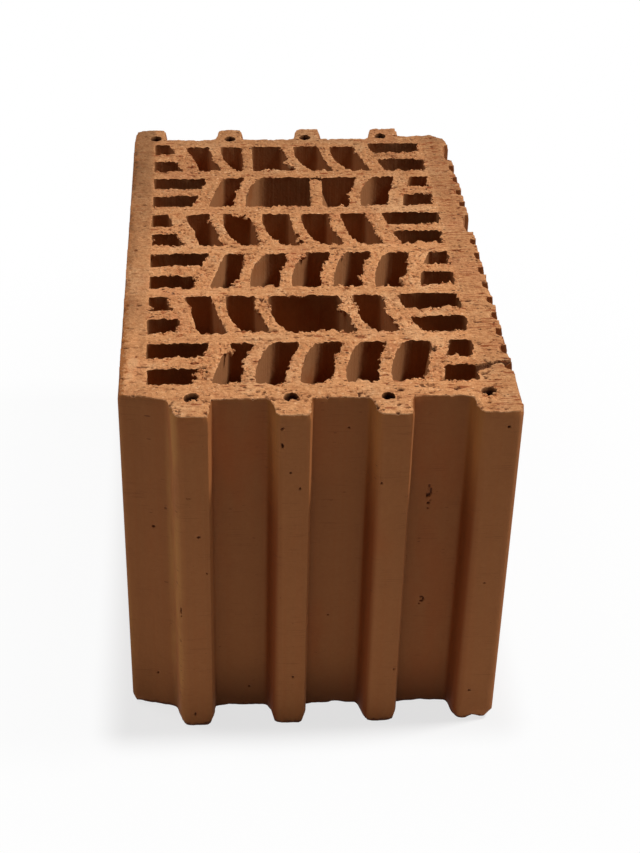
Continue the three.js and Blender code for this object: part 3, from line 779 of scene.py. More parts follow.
def pit_points(pit_way, folds, lowest, highest):
    """The points that carry the dents of the skin's pits: the middle of each and those on its rings, kept a
    little off the nearest fold, and some on a fold that runs close by."""
    _, _, pit_z, wide, high, _ = placed(SKIN_PITS).T
    part, turn = np.meshgrid(PIT_RINGS, np.arange(PIT_SPOKES) * math.tau / PIT_SPOKES)
    spot = np.column_stack(((part * np.cos(turn + part)).ravel(), (part * np.sin(turn + part)).ravel()))
    spot = np.vstack(((0, 0), spot))
    way = pit_way[:, None] + wide[:, None] * spot[:, 0]
    z = (pit_z[:, None] + high[:, None] * spot[:, 1]).ravel()
    fold = folds[np.argmin(np.abs(pit_way[:, None] - folds), axis=1)]
    keep = ((way - fold[:, None]) * np.sign(pit_way - fold)[:, None] > 0.25).ravel()
    near_fold = np.abs(pit_way - fold) < PIT_RINGS[-1] * wide + 2
    way = np.concatenate((way.ravel()[keep], np.repeat(fold[near_fold], FOLD_POINTS)))
    along = (pit_z[:, None] + (high[:, None] + 1.5) * np.linspace(-2, 2, FOLD_POINTS))[near_fold]
    z = np.concatenate((z[keep], along.ravel()))
    keep = (z > lowest) & (z < highest)
    return np.unique(np.column_stack((way, z))[keep].round(3), axis=0)


def skin_sheet(above, below, top_z, bed_z):
    """The outer walls between the torn ends. They are unrolled into a strip, way along the outline by height,
    and meshed there. A flat row of points follows each end, so that the torn ends don't tilt the shading of
    the skin. Each pit is a dent pressed in against the way out, within the wall between two folds, and points
    that belong to a long triangle stay flat, so that no dent draws a line down the wall. Returns the
    new places (lower row, upper row, pits), their values, and triangles numbered lower ring, upper ring,
    lower row, upper row, pits, where rings and rows repeat their first point at the end."""
    top, bed = np.flatnonzero(above.outer), np.flatnonzero(below.outer)
    corner = np.flatnonzero(above.corner_outer)
    length = np.hypot(*(above.corner[above.corner_after[corner]] - above.corner[corner]).T)
    start = np.concatenate(([0], np.cumsum(length)))
    top_way, bed_way = way_along(above, top, start), way_along(below, bed, start)
    lower = np.column_stack((np.append(bed_way, start[-1]), np.append(bed_z, bed_z[0])))
    upper = np.column_stack((np.append(top_way, start[-1]), np.append(top_z, top_z[0])))
    lower_row, upper_row = lower + (0, ROW_GAP), upper - (0, ROW_GAP)

    pit_x, pit_y, pit_z, wide, high, deep = placed(SKIN_PITS).T
    x, y = above.place[top].T
    pit_way = top_way[np.argmin(np.hypot(x[:, None] - pit_x, y[:, None] - pit_y), axis=0)]
    dents = pit_points(pit_way, start[1:-1], lower_row[:, 1].max() + 0.3, upper_row[:, 1].min() - 0.3)
    way, z = dents.T
    hollow = np.zeros_like(way)
    uneven = 1 + 0.2 * noise(way, z, 1.1, 1.1, 71)
    for pw, pz, w, h, d in zip(pit_way, pit_z, wide, high, deep):
        gap = np.hypot((way - pw) / w, (z - pz) / h)
        hollow = np.maximum(hollow, d * (1 - ramp(gap * uneven, 0.4, 1.1)))
    parts = (lower, upper, lower_row, upper_row)
    flat = np.vstack((*parts, dents))
    triangles = strip_triangles(flat, parts, below.begin[corner] - bed[0], above.begin[corner] - top[0])
    first = len(flat) - len(way)
    sides = [np.hypot(*(flat[triangles[:, k]] - flat[triangles[:, k - 1]]).T) for k in range(3)]
    of_long = np.isin(np.arange(len(flat)), triangles[np.max(sides, axis=0) > LONG_SIDE])
    still = np.unique(triangles[of_long[triangles].any(axis=1)])
    hollow[still[still >= first] - first] = 0

    ring = np.append(top, top[0])
    over = np.column_stack((above.place, above.away, wear_and_painted_light(above)))[ring]
    x, y, away_x, away_y, rub = (np.interp(way, upper[:, 0], value) for value in over.T)
    size = np.hypot(away_x, away_y)
    dents = np.column_stack((x - hollow * away_x / size, y - hollow * away_y / size, z))
    low_places = np.column_stack((below.place[bed], lower_row[:-1, 1]))
    high_places = np.column_stack((above.place[top], upper_row[:-1, 1]))
    # painted shade: the dents' depths go to the skin material as hollow, which darkens the pits
    hollow = np.concatenate((np.zeros(len(bed) + len(top)), hollow))
    rub = np.concatenate((wear_and_painted_light(below)[bed], wear_and_painted_light(above)[top], rub))
    values = np.column_stack((hollow, 0 * rub, rub, 0 * rub))
    return np.vstack((low_places, high_places, dents)), values, triangles


def make_block(settings):
    """The block as one closed surface: upper torn end, walls, lower torn end. Returns its mesh, and for the
    crumbs the upper outline, its torn places and its raggedness."""
    corner, corner_ring = section_rings(frame["nodes"][BLOCK_NODE])
    plain = Outline(corner, corner_ring, CORNER_STEP)
    keyed = ramp(HALF_WIDTH - plain.place[:, 0], 1.5, 2.5) * (plain.away[:, 0] > 0.8)
    shift = np.where(plain.outer, -KEYS_DEEPER * keyed, round_bells(*plain.place.T, WALL_SHIFTS))
    corner, corner_ring = plain.place + plain.away * shift[:, None], plain.ring
    deep_corner = corner + np.outer(round_bells(*plain.place.T, LEANS), (1, 0))
    above = Outline(corner, corner_ring, settings.edge_step / MM)
    below = Outline(deep_corner, corner_ring, settings.bed_step / MM)
    top, top_values, top_face, ragged, bite, top_clean = torn_end(
        above, settings, TOP_RINGS, level=HEIGHT, inward=-1, size=1.0, seed=100, step=settings.face_step / MM)
    bed, bed_values, bed_face, _, _, bed_clean = torn_end(
        below, settings, BED_RINGS, level=0, inward=1, size=0.6, seed=300, step=1.3 * settings.bed_step / MM)
    n, m = len(above.place), len(below.place)
    last_top, last_bed = (len(TOP_RINGS) - 1) * n, (len(BED_RINGS) - 1) * m
    top_outer, bed_outer = np.flatnonzero(above.outer), np.flatnonzero(below.outer)
    skin, skin_values, skin_face = skin_sheet(
        above, below, top[last_top + top_outer, 2], bed[last_bed + bed_outer, 2])
    levels = ((corner, top_clean), (deep_corner, HEIGHT - LEAN_DEPTH), (deep_corner, bed_clean))
    wall = [np.column_stack((ring, np.full(len(corner), z))) for ring, z in levels]
    wall_values = np.outer(np.tile(above.corner_tiny, 3), (0, 0, 0, 1))
    at_high, at_lean, at_low, at_bed = len(top) + len(corner) * np.arange(4)
    at_skin = at_bed + len(bed)
    pieces, kinds = [], []

    def add(triangles, kind):
        pieces.append(triangles)
        kinds.append(np.broadcast_to(kind, len(triangles)))

    add(top_face, CUT)
    torn_edge = (ragged > TORN_RAGGED) | (bite > TORN_BITE) | above.outer
    for number in range(len(TOP_RINGS) - 1):
        torn = torn_edge if number == 0 else above.outer & (bite > DEEP_BITE) & (number == 1)
        kind = np.where(torn, CUT, np.where(above.outer, SKIN, CELL))
        add(band(number * n, (number + 1) * n, above.after), np.tile(kind, 2))
    add(step_down(above, last_top, at_high, True), CELL)
    for upper, lower in ((at_high, at_lean), (at_lean, at_low)):
        add(band(upper, lower, above.corner_after)[np.tile(~above.corner_outer, 2)], CELL)
    add(step_down(below, at_bed + last_bed, at_low, False), CELL)
    for number in range(len(BED_RINGS) - 1):
        kind = np.where(below.outer, SKIN, CELL)
        add(band(at_bed + (number + 1) * m, at_bed + number * m, below.after), np.tile(kind, 2))
    add(at_bed + bed_face[:, ::-1], CUT)
    rows = len(bed_outer), len(bed_outer) + len(top_outer)
    strip = np.concatenate((
        at_bed + last_bed + np.append(bed_outer, bed_outer[0]),
        last_top + np.append(top_outer, top_outer[0]),
        at_skin + np.append(np.arange(rows[0]), 0), at_skin + np.append(np.arange(*rows), rows[0]),
        at_skin + np.arange(rows[1], len(skin))))
    add(strip[skin_face], SKIN)

    used, triangles = np.unique(np.vstack(pieces), return_inverse=True)
    places = np.vstack((top, *wall, bed, skin))[used]
    mesh = mesh_from("clay_block_surface", places * MM, triangles.reshape(-1, 3), np.concatenate(kinds))
    values = np.vstack((top_values, wall_values, bed_values, skin_values))[used].astype(np.float32)
    for name, numbers in zip(("hollow", "tone", "rub", "core"), values.T):
        mesh.attributes.new(name, "FLOAT", "POINT").data.foreach_set("value", np.ascontiguousarray(numbers))
    return mesh, (above, top[:n], ragged)


def mesh_from(name, places, triangles, kinds):
    """A mesh of triangles, each with its material's number, smooth except over sharp folds."""
    mesh = bpy.data.meshes.new(name)
    mesh.vertices.add(len(places))
    mesh.vertices.foreach_set("co", places.astype(np.float32).ravel())
    mesh.loops.add(len(triangles) * 3)
    mesh.loops.foreach_set("vertex_index", triangles.astype(np.int32).ravel())
    mesh.polygons.add(len(triangles))
    mesh.polygons.foreach_set("loop_start", np.arange(0, len(triangles) * 3, 3, dtype=np.int32))
    mesh.polygons.foreach_set("material_index", kinds.astype(np.int32))
    mesh.polygons.foreach_set("use_smooth", np.ones(len(triangles), bool))
    mesh.update(calc_edges=True)
    if mesh.validate():
        raise RuntimeError(f"{name} has faulty faces")
    mesh.set_sharp_from_angle(angle=SHARP_FOLD)
    return mesh


def show(name, mesh, materials):
    """Puts a mesh into the scene as an object at the origin with its materials, in order."""
    piece = bpy.data.objects.new(name, mesh)
    bpy.context.scene.collection.objects.link(piece)
    for material in materials:
        mesh.materials.append(material)
    return piece


# ---------------------------------------------------------------- shader node groups


def rgba(colour):
    return (*colour, 1.0)


class Nodes:
    """Short words for making and joining shader nodes in one tree."""

    def __init__(self, tree):
        self.tree = tree

    def put(self, socket, value):
        """Links a socket to another or sets its value."""
        if isinstance(value, bpy.types.NodeSocket):
            self.tree.links.new(value, socket)
        else:
            socket.default_value = value

    def add(self, kind, inputs=None, **values):
        """A new node with its settings and its inputs, which are given by name or number."""
        made = self.tree.nodes.new(kind)
        for key, value in values.items():
            setattr(made, key, value)
        for key, value in (inputs or {}).items():
            self.put(made.inputs[key], value)
        return made

    def place(self):
        return self.add("ShaderNodeTexCoord").outputs["Object"]

    def attribute(self, name):
        return self.add("ShaderNodeAttribute", attribute_name=name).outputs["Fac"]

    def calc(self, operation, *values):
        return self.add("ShaderNodeMath", dict(enumerate(values)), operation=operation).outputs[0]

    def times(self, first, second):
        return self.calc("MULTIPLY", first, second)

    def most(self, first, second):
        return self.calc("MAXIMUM", first, second)

    def vector(self, operation, *values):
        return self.add("ShaderNodeVectorMath", dict(enumerate(values)), operation=operation).outputs[0]

    def mix(self, share, first, second, blend="MIX"):
        made = self.add("ShaderNodeMix", {0: share, 6: first, 7: second}, data_type="RGBA", blend_type=blend)
        return made.outputs[2]

    def lay(self, colour, share, tone):
        """The colour with a plain tone laid over it."""
        return self.mix(share, colour, rgba(tone))

    def spread(self, value, low, high, to_low=0.0, to_high=1.0):
        """to_low below low, to_high above high, and 3t^2 - 2t^3 between them."""
        inputs = dict(enumerate((value, low, high, to_low, to_high)))
        return self.add("ShaderNodeMapRange", inputs, interpolation_type="SMOOTHSTEP").outputs[0]

    def grain(self, vector, scale, detail=2.0, rough=0.5):
        """Cloudy noise from 0 to 1."""
        inputs = {"Vector": vector, "Scale": scale, "Detail": detail, "Roughness": rough}
        return self.add("ShaderNodeTexNoise", inputs).outputs[0]

    def cells(self, vector, scale):
        """Random cells: the distance from each one's middle, and a random colour for each."""
        made = self.add("ShaderNodeTexVoronoi", {"Vector": vector, "Scale": scale}).outputs
        return made["Distance"], made["Color"]

    def parts(self, colour):
        return self.add("ShaderNodeSeparateColor", {"Color": colour}).outputs

    def stretched(self, vector, scale, shift=(0, 0, 0)):
        return self.add("ShaderNodeMapping", {"Vector": vector, "Location": shift, "Scale": scale}).outputs[0]


SOCKET_KINDS = {1: "NodeSocketFloat", 3: "NodeSocketVector", 4: "NodeSocketColor"}


def effect(name, inputs, outputs):
    """An empty shader node group: an input called Vector, the named inputs with their defaults, whose count
    of numbers gives the kind, and the named outputs, where Color is a colour and any other a number."""
    tree = bpy.data.node_groups.new(name, "ShaderNodeTree")
    tree.interface.new_socket("Vector", in_out="INPUT", socket_type="NodeSocketVector")
    for title, default in inputs.items():
        kind = SOCKET_KINDS[np.size(default)]
        tree.interface.new_socket(title, in_out="INPUT", socket_type=kind).default_value = default
    for title in outputs:
        kind = SOCKET_KINDS[4 if title == "Color" else 1]
        tree.interface.new_socket(title, in_out="OUTPUT", socket_type=kind)
    return Nodes(tree), tree.nodes.new("NodeGroupInput").outputs, tree.nodes.new("NodeGroupOutput").inputs


def clay_mottle():
    """Colour: two slow noises lay pale and pink patches over the base."""
    tones = {"Base": (0.5, 0.3, 0.2, 1), "Pale": (0.6, 0.4, 0.3, 1), "Pink": (0.5, 0.2, 0.15, 1)}
    n, given, out = effect("clay_mottle", {**tones, "Patches": 26.0}, ["Color"])
    pale = n.spread(n.grain(given["Vector"], given["Patches"], 3, 0.6), 0.5, 0.7)
    elsewhere = n.stretched(given["Vector"], (1, 1, 1), (0.37, 0.11, 0.53))
    pink = n.spread(n.grain(elsewhere, given["Patches"], 3, 0.6), 0.52, 0.72)
    colour = n.mix(n.times(pale, 0.8), given["Base"], given["Pale"])
    n.put(out["Color"], n.mix(n.times(pink, 0.7), colour, given["Pink"]))
    return n.tree


def sand_speckle():
    """Factor about 1 for the colour: each sand grain, a random cell, has its own lightness, and three
    sizes of noise lighten and darken groups of grains."""
    n, given, out = effect("sand_speckle", {"Grains": 800.0, "Contrast": 1.0}, ["Factor"])
    own = n.parts(n.cells(given["Vector"], given["Grains"])[1])[0]
    light = n.times(n.calc("SUBTRACT", own, 0.5), 0.2)
    for finer, rough, weight in ((1.6, 0.6, 0.5), (0.5, 0.6, 0.6), (0.12, 0.5, 0.5)):
        group = n.grain(given["Vector"], n.times(given["Grains"], finer), 2, rough)
        light = n.calc("MULTIPLY_ADD", n.calc("SUBTRACT", group, 0.5), weight, light)
    n.put(out["Factor"], n.calc("MULTIPLY_ADD", light, given["Contrast"], 1.0))
    return n.tree


def sand_grain():
    """Height: sand grains as two sizes of noise and rounded cells, from about -1 to 1."""
    n, given, out = effect("sand_grain", {"Coarse": 420.0, "Fine": 1300.0}, ["Height"])
    coarse = n.times(n.grain(given["Vector"], given["Coarse"], 2, 0.6), 1.2)
    fine = n.times(n.grain(given["Vector"], given["Fine"], 2, 0.6), 0.7)
    rounded = n.times(n.cells(given["Vector"], given["Coarse"])[0], 0.5)
    n.put(out["Height"], n.calc("SUBTRACT", n.calc("ADD", coarse, fine), rounded))
    return n.tree


def wire_streaks():
    """Height: noise stretched many times along one way. Mask of thin lines: only its tops kept."""
    n, given, out = effect("wire_streaks", {"Stretch": (1, 1, 1), "Threshold": 0.6}, ["Mask", "Height"])
    lines = n.grain(n.vector("MULTIPLY", given["Vector"], given["Stretch"]), 1.0, 2, 0.55)
    n.put(out["Mask"], n.spread(lines, given["Threshold"], n.calc("ADD", given["Threshold"], 0.14)))
    n.put(out["Height"], lines)
    return n.tree


def clay_pores():
    """Mask of pores: the middles of random cells, only a share of which open, each to a size of its own."""
    n, given, out = effect("clay_pores", {"Scale": 300.0, "Size": 0.3, "Share": 0.5}, ["Mask"])
    distance, colour = n.cells(given["Vector"], given["Scale"])
    pick = n.parts(colour)
    size = n.times(given["Size"], pick[1])
    hole = n.spread(distance, n.times(size, 0.7), size, 1.0, 0.0)
    n.put(out["Mask"], n.times(hole, n.calc("LESS_THAN", pick[0], given["Share"])))
    return n.tree


GROUPS = {}


def use(n, maker, **inputs):
    """Places the node group that a function makes when it is first asked for, and returns its outputs."""
    if maker not in GROUPS:
        GROUPS[maker] = maker()
    return n.add("ShaderNodeGroup", inputs, node_tree=GROUPS[maker]).outputs


# ---------------------------------------------------------------- materials


def row_x(distance):
    """The x of a place that lies so many mm from the smooth side."""
    return (distance - HALF_WIDTH) * MM


def blank_material(name, colour):
    """A new material, short words for its nodes, and its shader."""
    material = bpy.data.materials.new(name)
    material.use_nodes = True
    material.diffuse_color = rgba(colour)
    n = Nodes(material.node_tree)
    return material, n, n.tree.nodes["Principled BSDF"]


def mottled(n, vector, base, pale, pink, **patches):
    """The mottled ground colour of a material."""
    tones = {"Base": rgba(base), "Pale": rgba(pale), "Pink": rgba(pink)}
    return use(n, clay_mottle, Vector=vector, **tones, **patches)["Color"]


def shaded(n, colour, factor, green=1.3, blue=1.5):
    """The colour times a factor whose green and blue are powers of it, so that dark grains grow redder."""
    tint = {0: factor, 1: n.calc("POWER", factor, green), 2: n.calc("POWER", factor, blue)}
    return n.mix(1.0, colour, n.add("ShaderNodeCombineColor", tint).outputs[0], "MULTIPLY")


def finish_surface(n, shader, colour, height, distance, roughness, shine):
    """Joins the colour and a bump of the given height to the shader, and sets how dull it is."""
    bump = n.add("ShaderNodeBump", {"Strength": 1.0, "Distance": distance, "Height": height})
    n.put(shader.inputs["Base Color"], colour)
    n.put(shader.inputs["Normal"], bump.outputs[0])
    shader.inputs["Roughness"].default_value = roughness
    shader.inputs["Specular IOR Level"].default_value = shine


def cut_clay_material(tones):
    """Sandy, streaked and pitted clay of the cut faces and torn edges."""
    material, n, shader = blank_material("wire_cut_clay", tones.cut)
    at = n.place()
    x, y = n.add("ShaderNodeSeparateXYZ", {0: at}).outputs[:2]
    left = n.spread(x, *map(row_x, LEFT_MARGIN), 1.0, 0.0)
    right = n.spread(x, row_x(216), row_x(224))
    tone, hollow = n.attribute("tone"), n.attribute("hollow")

    # ground colour: mottled and sandy with painted shade, darker and redder where the sand bump is low, and
    # paler or duller by the tone
    sand = use(n, sand_grain, Vector=at, Coarse=420.0, Fine=1300.0)["Height"]
    speckle_and_grain_shade = use(n, sand_speckle, Vector=at, Grains=800.0, Contrast=0.65)["Factor"]
    # painted shade: the speckle darkens where the sand bump is low, as if the hollows between grains were
    # shaded
    speckle_and_grain_shade = n.times(speckle_and_grain_shade, n.spread(sand, 0.3, 1.1, 0.9, 1.1))
    colour = mottled(n, at, tones.cut, tones.cut_pale, tones.cut_pink)
    colour = shaded(n, shaded(n, colour, speckle_and_grain_shade, 1.4, 1.7), n.calc("ADD", tone, 1.0), 1.0, 1.0)
    colour = n.lay(colour, n.spread(tone, 0.04, 0.16, 0.0, 0.75), tones.cut_pale)

    # the smooth side's arris, worn down to the skin, most of all at the front
    arris = n.calc("MULTIPLY_ADD", n.grain(at, 260.0, 3, 0.65), -0.018, x)
    worn = n.times(n.spread(arris, row_x(-7), row_x(-5.5), 0.95, 0.0), n.spread(y, -0.08, -0.04, 1.0, 0.5))
    colour = n.lay(colour, worn, tones.skin)

    # pale sand grains, fewer on the margins, all drawn out along x by the wire
    fleck_at = n.stretched(at, (0.6, 1, 1), (0.21, 0.43, 0.17))
    flecks = use(n, clay_pores, Vector=fleck_at, Scale=560.0, Size=0.42, Share=0.5)["Mask"]
    flecks = n.times(flecks, n.spread(n.calc("ADD", left, right), 0.0, 1.0, 0.7, 0.15))
    colour = n.lay(colour, flecks, tones.fleck)

    # drag marks: long streaks, mostly on the keyed side, and dashes, fewer on the smooth side
    streak = use(n, wire_streaks, Vector=at, Stretch=(90, 900, 90), Threshold=0.53)
    dash_at = n.stretched(at, (0.25, 1, 1))
    dash = use(n, clay_pores, Vector=dash_at, Scale=420.0, Size=0.5, Share=0.32)["Mask"]
    dragged = n.most(n.times(streak["Mask"], n.spread(right, 0.0, 1.0, 0.35, 0.8)), n.times(dash, 0.75))
    colour = n.lay(colour, n.times(dragged, n.spread(left, 0.0, 1.0, 1.0, 0.4)), tones.drag)

    # painted shade in the pits, the creases and the crack, from hollow, and dark clusters of pores and fine
    # pores
    oblong = n.stretched(at, (0.5, 1, 1))
    cluster = n.calc("SUBTRACT", n.spread(n.grain(at, 75.0, 3, 0.6), 0.47, 0.6), n.times(left, 0.6))
    pores = n.times(use(n, clay_pores, Vector=oblong, Scale=470.0, Size=0.44, Share=0.65)["Mask"], cluster)
    fine_pores = use(n, clay_pores, Vector=oblong, Scale=680.0, Size=0.45, Share=0.35)["Mask"]
    dark = n.most(n.spread(hollow, 0.25, 1.4), n.times(pores, 0.85))
    dark = n.most(dark, n.times(fine_pores, n.spread(left, 0.0, 1.0, 0.8, 0.35)))
    colour = n.lay(colour, dark, tones.pore_and_shade)

    height = n.calc("SUBTRACT", n.calc("ADD", sand, n.times(streak["Height"], 0.8)), pores)
    finish_surface(n, shader, colour, height, 0.0006, 0.95, 0.12)
    return material


def skin_material(tones):
    """Smooth extruded clay with faint upright stripes from the die and a few pores."""
    material, n, shader = blank_material("extruded_skin", tones.skin)
    at = n.place()
    x, y, z = n.add("ShaderNodeSeparateXYZ", {0: at}).outputs
    hollow, rub = n.attribute("hollow"), n.attribute("rub")
    upright = n.stretched(at, (1, 1, 0.35))

    # ground colour with the die's upright stripes
    colour = mottled(n, upright, tones.skin, tones.skin, tones.skin_warm, Patches=22.0)
    colour = shaded(n, colour, use(n, sand_speckle, Vector=at, Grains=700.0, Contrast=0.16)["Factor"])
    stripe = use(n, wire_streaks, Vector=at, Stretch=(330, 330, 4), Threshold=0.5)
    colour = n.lay(colour, n.times(stripe["Mask"], 0.15), tones.skin_warm)

    # painted light and shade: a painted highlight on outward corners and the first tongue's left side,
    # painted shade on the recessed faces and low on the other tongues' left sides
    patchy = n.spread(n.grain(upright, 60.0, 2, 0.5), 0.35, 0.6)
    colour = n.lay(colour, n.times(n.most(rub, 0.0), patchy), tones.wear_and_painted_light)
    # painted shade on the faces that lie back from the tongues' tips
    floor = GROOVE_FLOOR * MM
    groove_shade = n.spread(y, floor - 0.012, floor - 0.003, 0.0, 0.35)
    colour = n.lay(colour, n.times(groove_shade, 0.35), tones.pore_and_shade)
    # painted shade: dark red on the left sides of the tongues past the first, fading toward the highlight
    # colour near the top
    painted_flank_shade = n.mix(n.spread(z, 0.15, 0.24, 0.0, 0.5), rgba(tones.painted_flank_shade), rgba(tones.wear_and_painted_light))
    colour = n.mix(n.most(n.times(rub, -1.0), 0.0), colour, painted_flank_shade)

    # dark pores, painted shade in the pits, patches of nicks and chatter, a dark ragged band along the lower
    # edge, and painted shade low on the wall, most of all on the recessed faces
    pores = use(n, clay_pores, Vector=at, Scale=85.0, Size=0.1, Share=0.05)["Mask"]
    dark = n.most(n.times(pores, 0.6), n.spread(hollow, 0.2, 1.0, 0.0, 0.9))
    nick_at = n.stretched(at, (0.3, 0.3, 1))
    nicks = use(n, clay_pores, Vector=nick_at, Scale=420.0, Size=0.3, Share=0.3)["Mask"]
    chatter = use(n, wire_streaks, Vector=at, Stretch=(50, 50, 1400), Threshold=0.56)["Mask"]
    patch = n.spread(n.grain(at, 45.0, 2, 0.5), 0.45, 0.6)
    dark = n.most(dark, n.times(patch, n.most(n.times(nicks, 0.6), n.times(chatter, 0.25))))
    frayed = n.calc("MULTIPLY_ADD", n.grain(at, 300.0, 2, 0.6), -0.006, z)
    dark = n.most(dark, n.spread(frayed, -0.0016, 0.0012, 0.9, 0.0))
    # painted shade within 50 mm of the lower edge, strongest on recessed faces more than 34 mm from the
    # smooth side
    low_groove_shade = n.calc("MULTIPLY_ADD", groove_shade, n.spread(x, row_x(20), row_x(34)), 0.1)
    dark = n.most(dark, n.times(n.spread(z, 0.0, 0.05, 1.0, 0.0), low_groove_shade))
    colour = n.lay(colour, dark, tones.pore_and_shade)

    # a ragged lip of cut clay along the upper edge
    ragged = n.calc("ADD", n.grain(at, 400.0, 2, 0.6), n.times(n.grain(at, 90.0, 2, 0.5), 0.8))
    under = n.times(n.calc("SUBTRACT", HEIGHT * MM, z), 330.0)
    colour = n.lay(colour, n.spread(n.calc("SUBTRACT", ragged, under), 0.45, 0.6), tones.cut)

    sand = use(n, sand_grain, Vector=at, Coarse=520.0, Fine=1500.0)["Height"]
    height = n.calc("MULTIPLY_ADD", stripe["Height"], 0.25, n.times(sand, 0.25))
    height = n.calc("SUBTRACT", height, n.times(pores, 1.2))
    finish_surface(n, shader, colour, height, 0.0003, 0.75, 0.15)
    return material


def cell_material(tones):
    """Extruded clay inside the holes with painted shade: redder and darker further from the cut faces."""
    material, n, shader = blank_material("cell_wall", tones.cell)
    at = n.place()
    z = n.add("ShaderNodeSeparateXYZ", {0: at}).outputs["Z"]
    inside = n.calc("MINIMUM", z, n.calc("SUBTRACT", HEIGHT * MM, z))
    colour = mottled(n, at, tones.cell, tones.cell, tones.skin_warm, Patches=20.0)
    # painted shade: redder and darker from 20 to 100 mm in from the nearer cut face
    colour = n.lay(colour, n.spread(inside, 0.02, 0.1, 0.0, 0.9), tones.cell_deep_shade)
    colour = shaded(n, colour, use(n, sand_speckle, Vector=at, Grains=700.0, Contrast=0.25)["Factor"])
    stripe = use(n, wire_streaks, Vector=at, Stretch=(420, 420, 5), Threshold=0.52)
    colour = n.lay(colour, n.times(stripe["Mask"], 0.25), tones.skin)
    # painted shade: the core holes go dark a few millimetres in
    core = n.times(n.attribute("core"), n.spread(inside, 0.001, 0.004))
    colour = n.lay(colour, core, tones.pore_and_shade)
    sand = use(n, sand_grain, Vector=at, Coarse=520.0, Fine=1500.0)["Height"]
    height = n.calc("ADD", n.times(sand, 0.4), stripe["Height"])
    finish_surface(n, shader, colour, height, 0.0004, 0.9, 0.05)
    return material


# ---------------------------------------------------------------- crumbs


def octahedron_ball():
    """A ball of 18 points and 32 faces: an octahedron with every side halved and pushed out to the ball."""
    tip = np.array([(1, 0, 0), (-1, 0, 0), (0, 1, 0), (0, -1, 0), (0, 0, 1), (0, 0, -1)], float)
    faces = [(0, 2, 4), (2, 1, 4), (1, 3, 4), (3, 0, 4), (2, 0, 5), (1, 2, 5), (3, 1, 5), (0, 3, 5)]
    points, middle, out = list(tip), {}, []

    def halfway(a, b):
        key = (min(a, b), max(a, b))
        if key not in middle:
            middle[key] = len(points)
            points.append((tip[a] + tip[b]) / math.sqrt(2))
        return middle[key]

    for a, b, c in faces:
        ab, bc, ca = halfway(a, b), halfway(b, c), halfway(c, a)
        out += [(a, ab, ca), (ab, b, bc), (ca, bc, c), (ab, bc, ca)]
    return np.array(points), np.array(out)


def make_crumbs(outline, edge, ragged, settings):
    """The crumbs on the upper torn edge as one mesh. Their places are drawn from the edge's points, the more
    ragged the likelier. Each is a ball with a random radius at each point, stretched, and turned about the
    three axes in order."""
    dice = np.random.default_rng(settings.seed + 50)
    torn = nearness(*outline.place.T, TORN_SPOTS)
    weight = np.where(outline.outer, 0.05, ragged**2) + 3 * torn
    chosen = dice.choice(len(edge), settings.crumb_count, p=weight / weight.sum())
    count, on_arris = len(chosen), outline.outer[chosen]
    size = (0.34 + 1.1 * dice.random(count) ** 3) * (1 + 0.5 * torn[chosen])
    size = np.where(on_arris, 0.3, size)
    out = np.where(on_arris, -1.2, dice.uniform(-1.6, 0.7, count))
    middle = edge[chosen].copy()
    middle[:, :2] += outline.away[chosen] * out[:, None]
    middle[:, 2] = np.minimum(middle[:, 2] + 0.1 - 0.3 * np.maximum(out, 0), HEIGHT - size)
    ball, faces = octahedron_ball()
    turn = dice.uniform(0, math.tau, (3, count))
    stretch = dice.uniform(0.6, 1.35, (count, 1, 3)) * size[:, None, None]
    lump = 1 + 0.28 * dice.standard_normal((count, len(ball), 1)).clip(-1.5, 1.5)
    shape = ball[None] * lump * stretch
    for angle, (a, b) in zip(turn, ((1, 2), (2, 0), (0, 1))):
        c, s = np.cos(angle)[:, None], np.sin(angle)[:, None]
        first, second = shape[:, :, a], shape[:, :, b]
        shape[:, :, a], shape[:, :, b] = c * first - s * second, s * first + c * second
    shape += middle[:, None]
    shape[:, :, 2] = np.minimum(shape[:, :, 2], HEIGHT)
    triangles = (faces[None] + len(ball) * np.arange(count)[:, None, None]).reshape(-1, 3)
    return mesh_from("crumb_surface", shape.reshape(-1, 3) * MM, triangles, np.zeros(len(triangles)))


# ---------------------------------------------------------------- studio

FLOOR_SIZE = 6.0  # half width of the floor, in metres
IMAGE_HEIGHT = 853  # pixels, in an image 640 wide
FOCAL_LENGTH = 1666.0  # in pixels
SENSOR = 36.0
CAMERA_PLACE = (-0.06487, -0.99158, 0.79675)  # in metres
CAMERA_TURN = (-3.681, 33.302, 1.113)  # degrees to the left of +y, below level, and of roll
CAMERA_SHIFT = (20, -47)  # pixels from the straight-ahead point to the image's middle, right and up
# The lamps: the setting of the power, and in metres the size, the place and the target.
LAMPS = [
    ("key", 0.4, (1.55, 0.06, 2.65), (0, 0, 0.2)),
    ("side", 0.7, (-0.87, 0.12, 1.75), (0, 0, 0.2)),
    ("left", 0.4, (-1.8, -0.46, 0.2), (0, -0.1, 0.12)),
    ("front", 0.4, (-0.3, -1.7, 0.2), (0, -0.1, 0.12)),
]


def seen(n):
    """1 for a ray from the camera, a mirror or glass, and 0 for light."""
    path = n.add("ShaderNodeLightPath").outputs
    return n.most(path["Is Camera Ray"], n.most(path["Is Glossy Ray"], path["Is Transmission Ray"]))


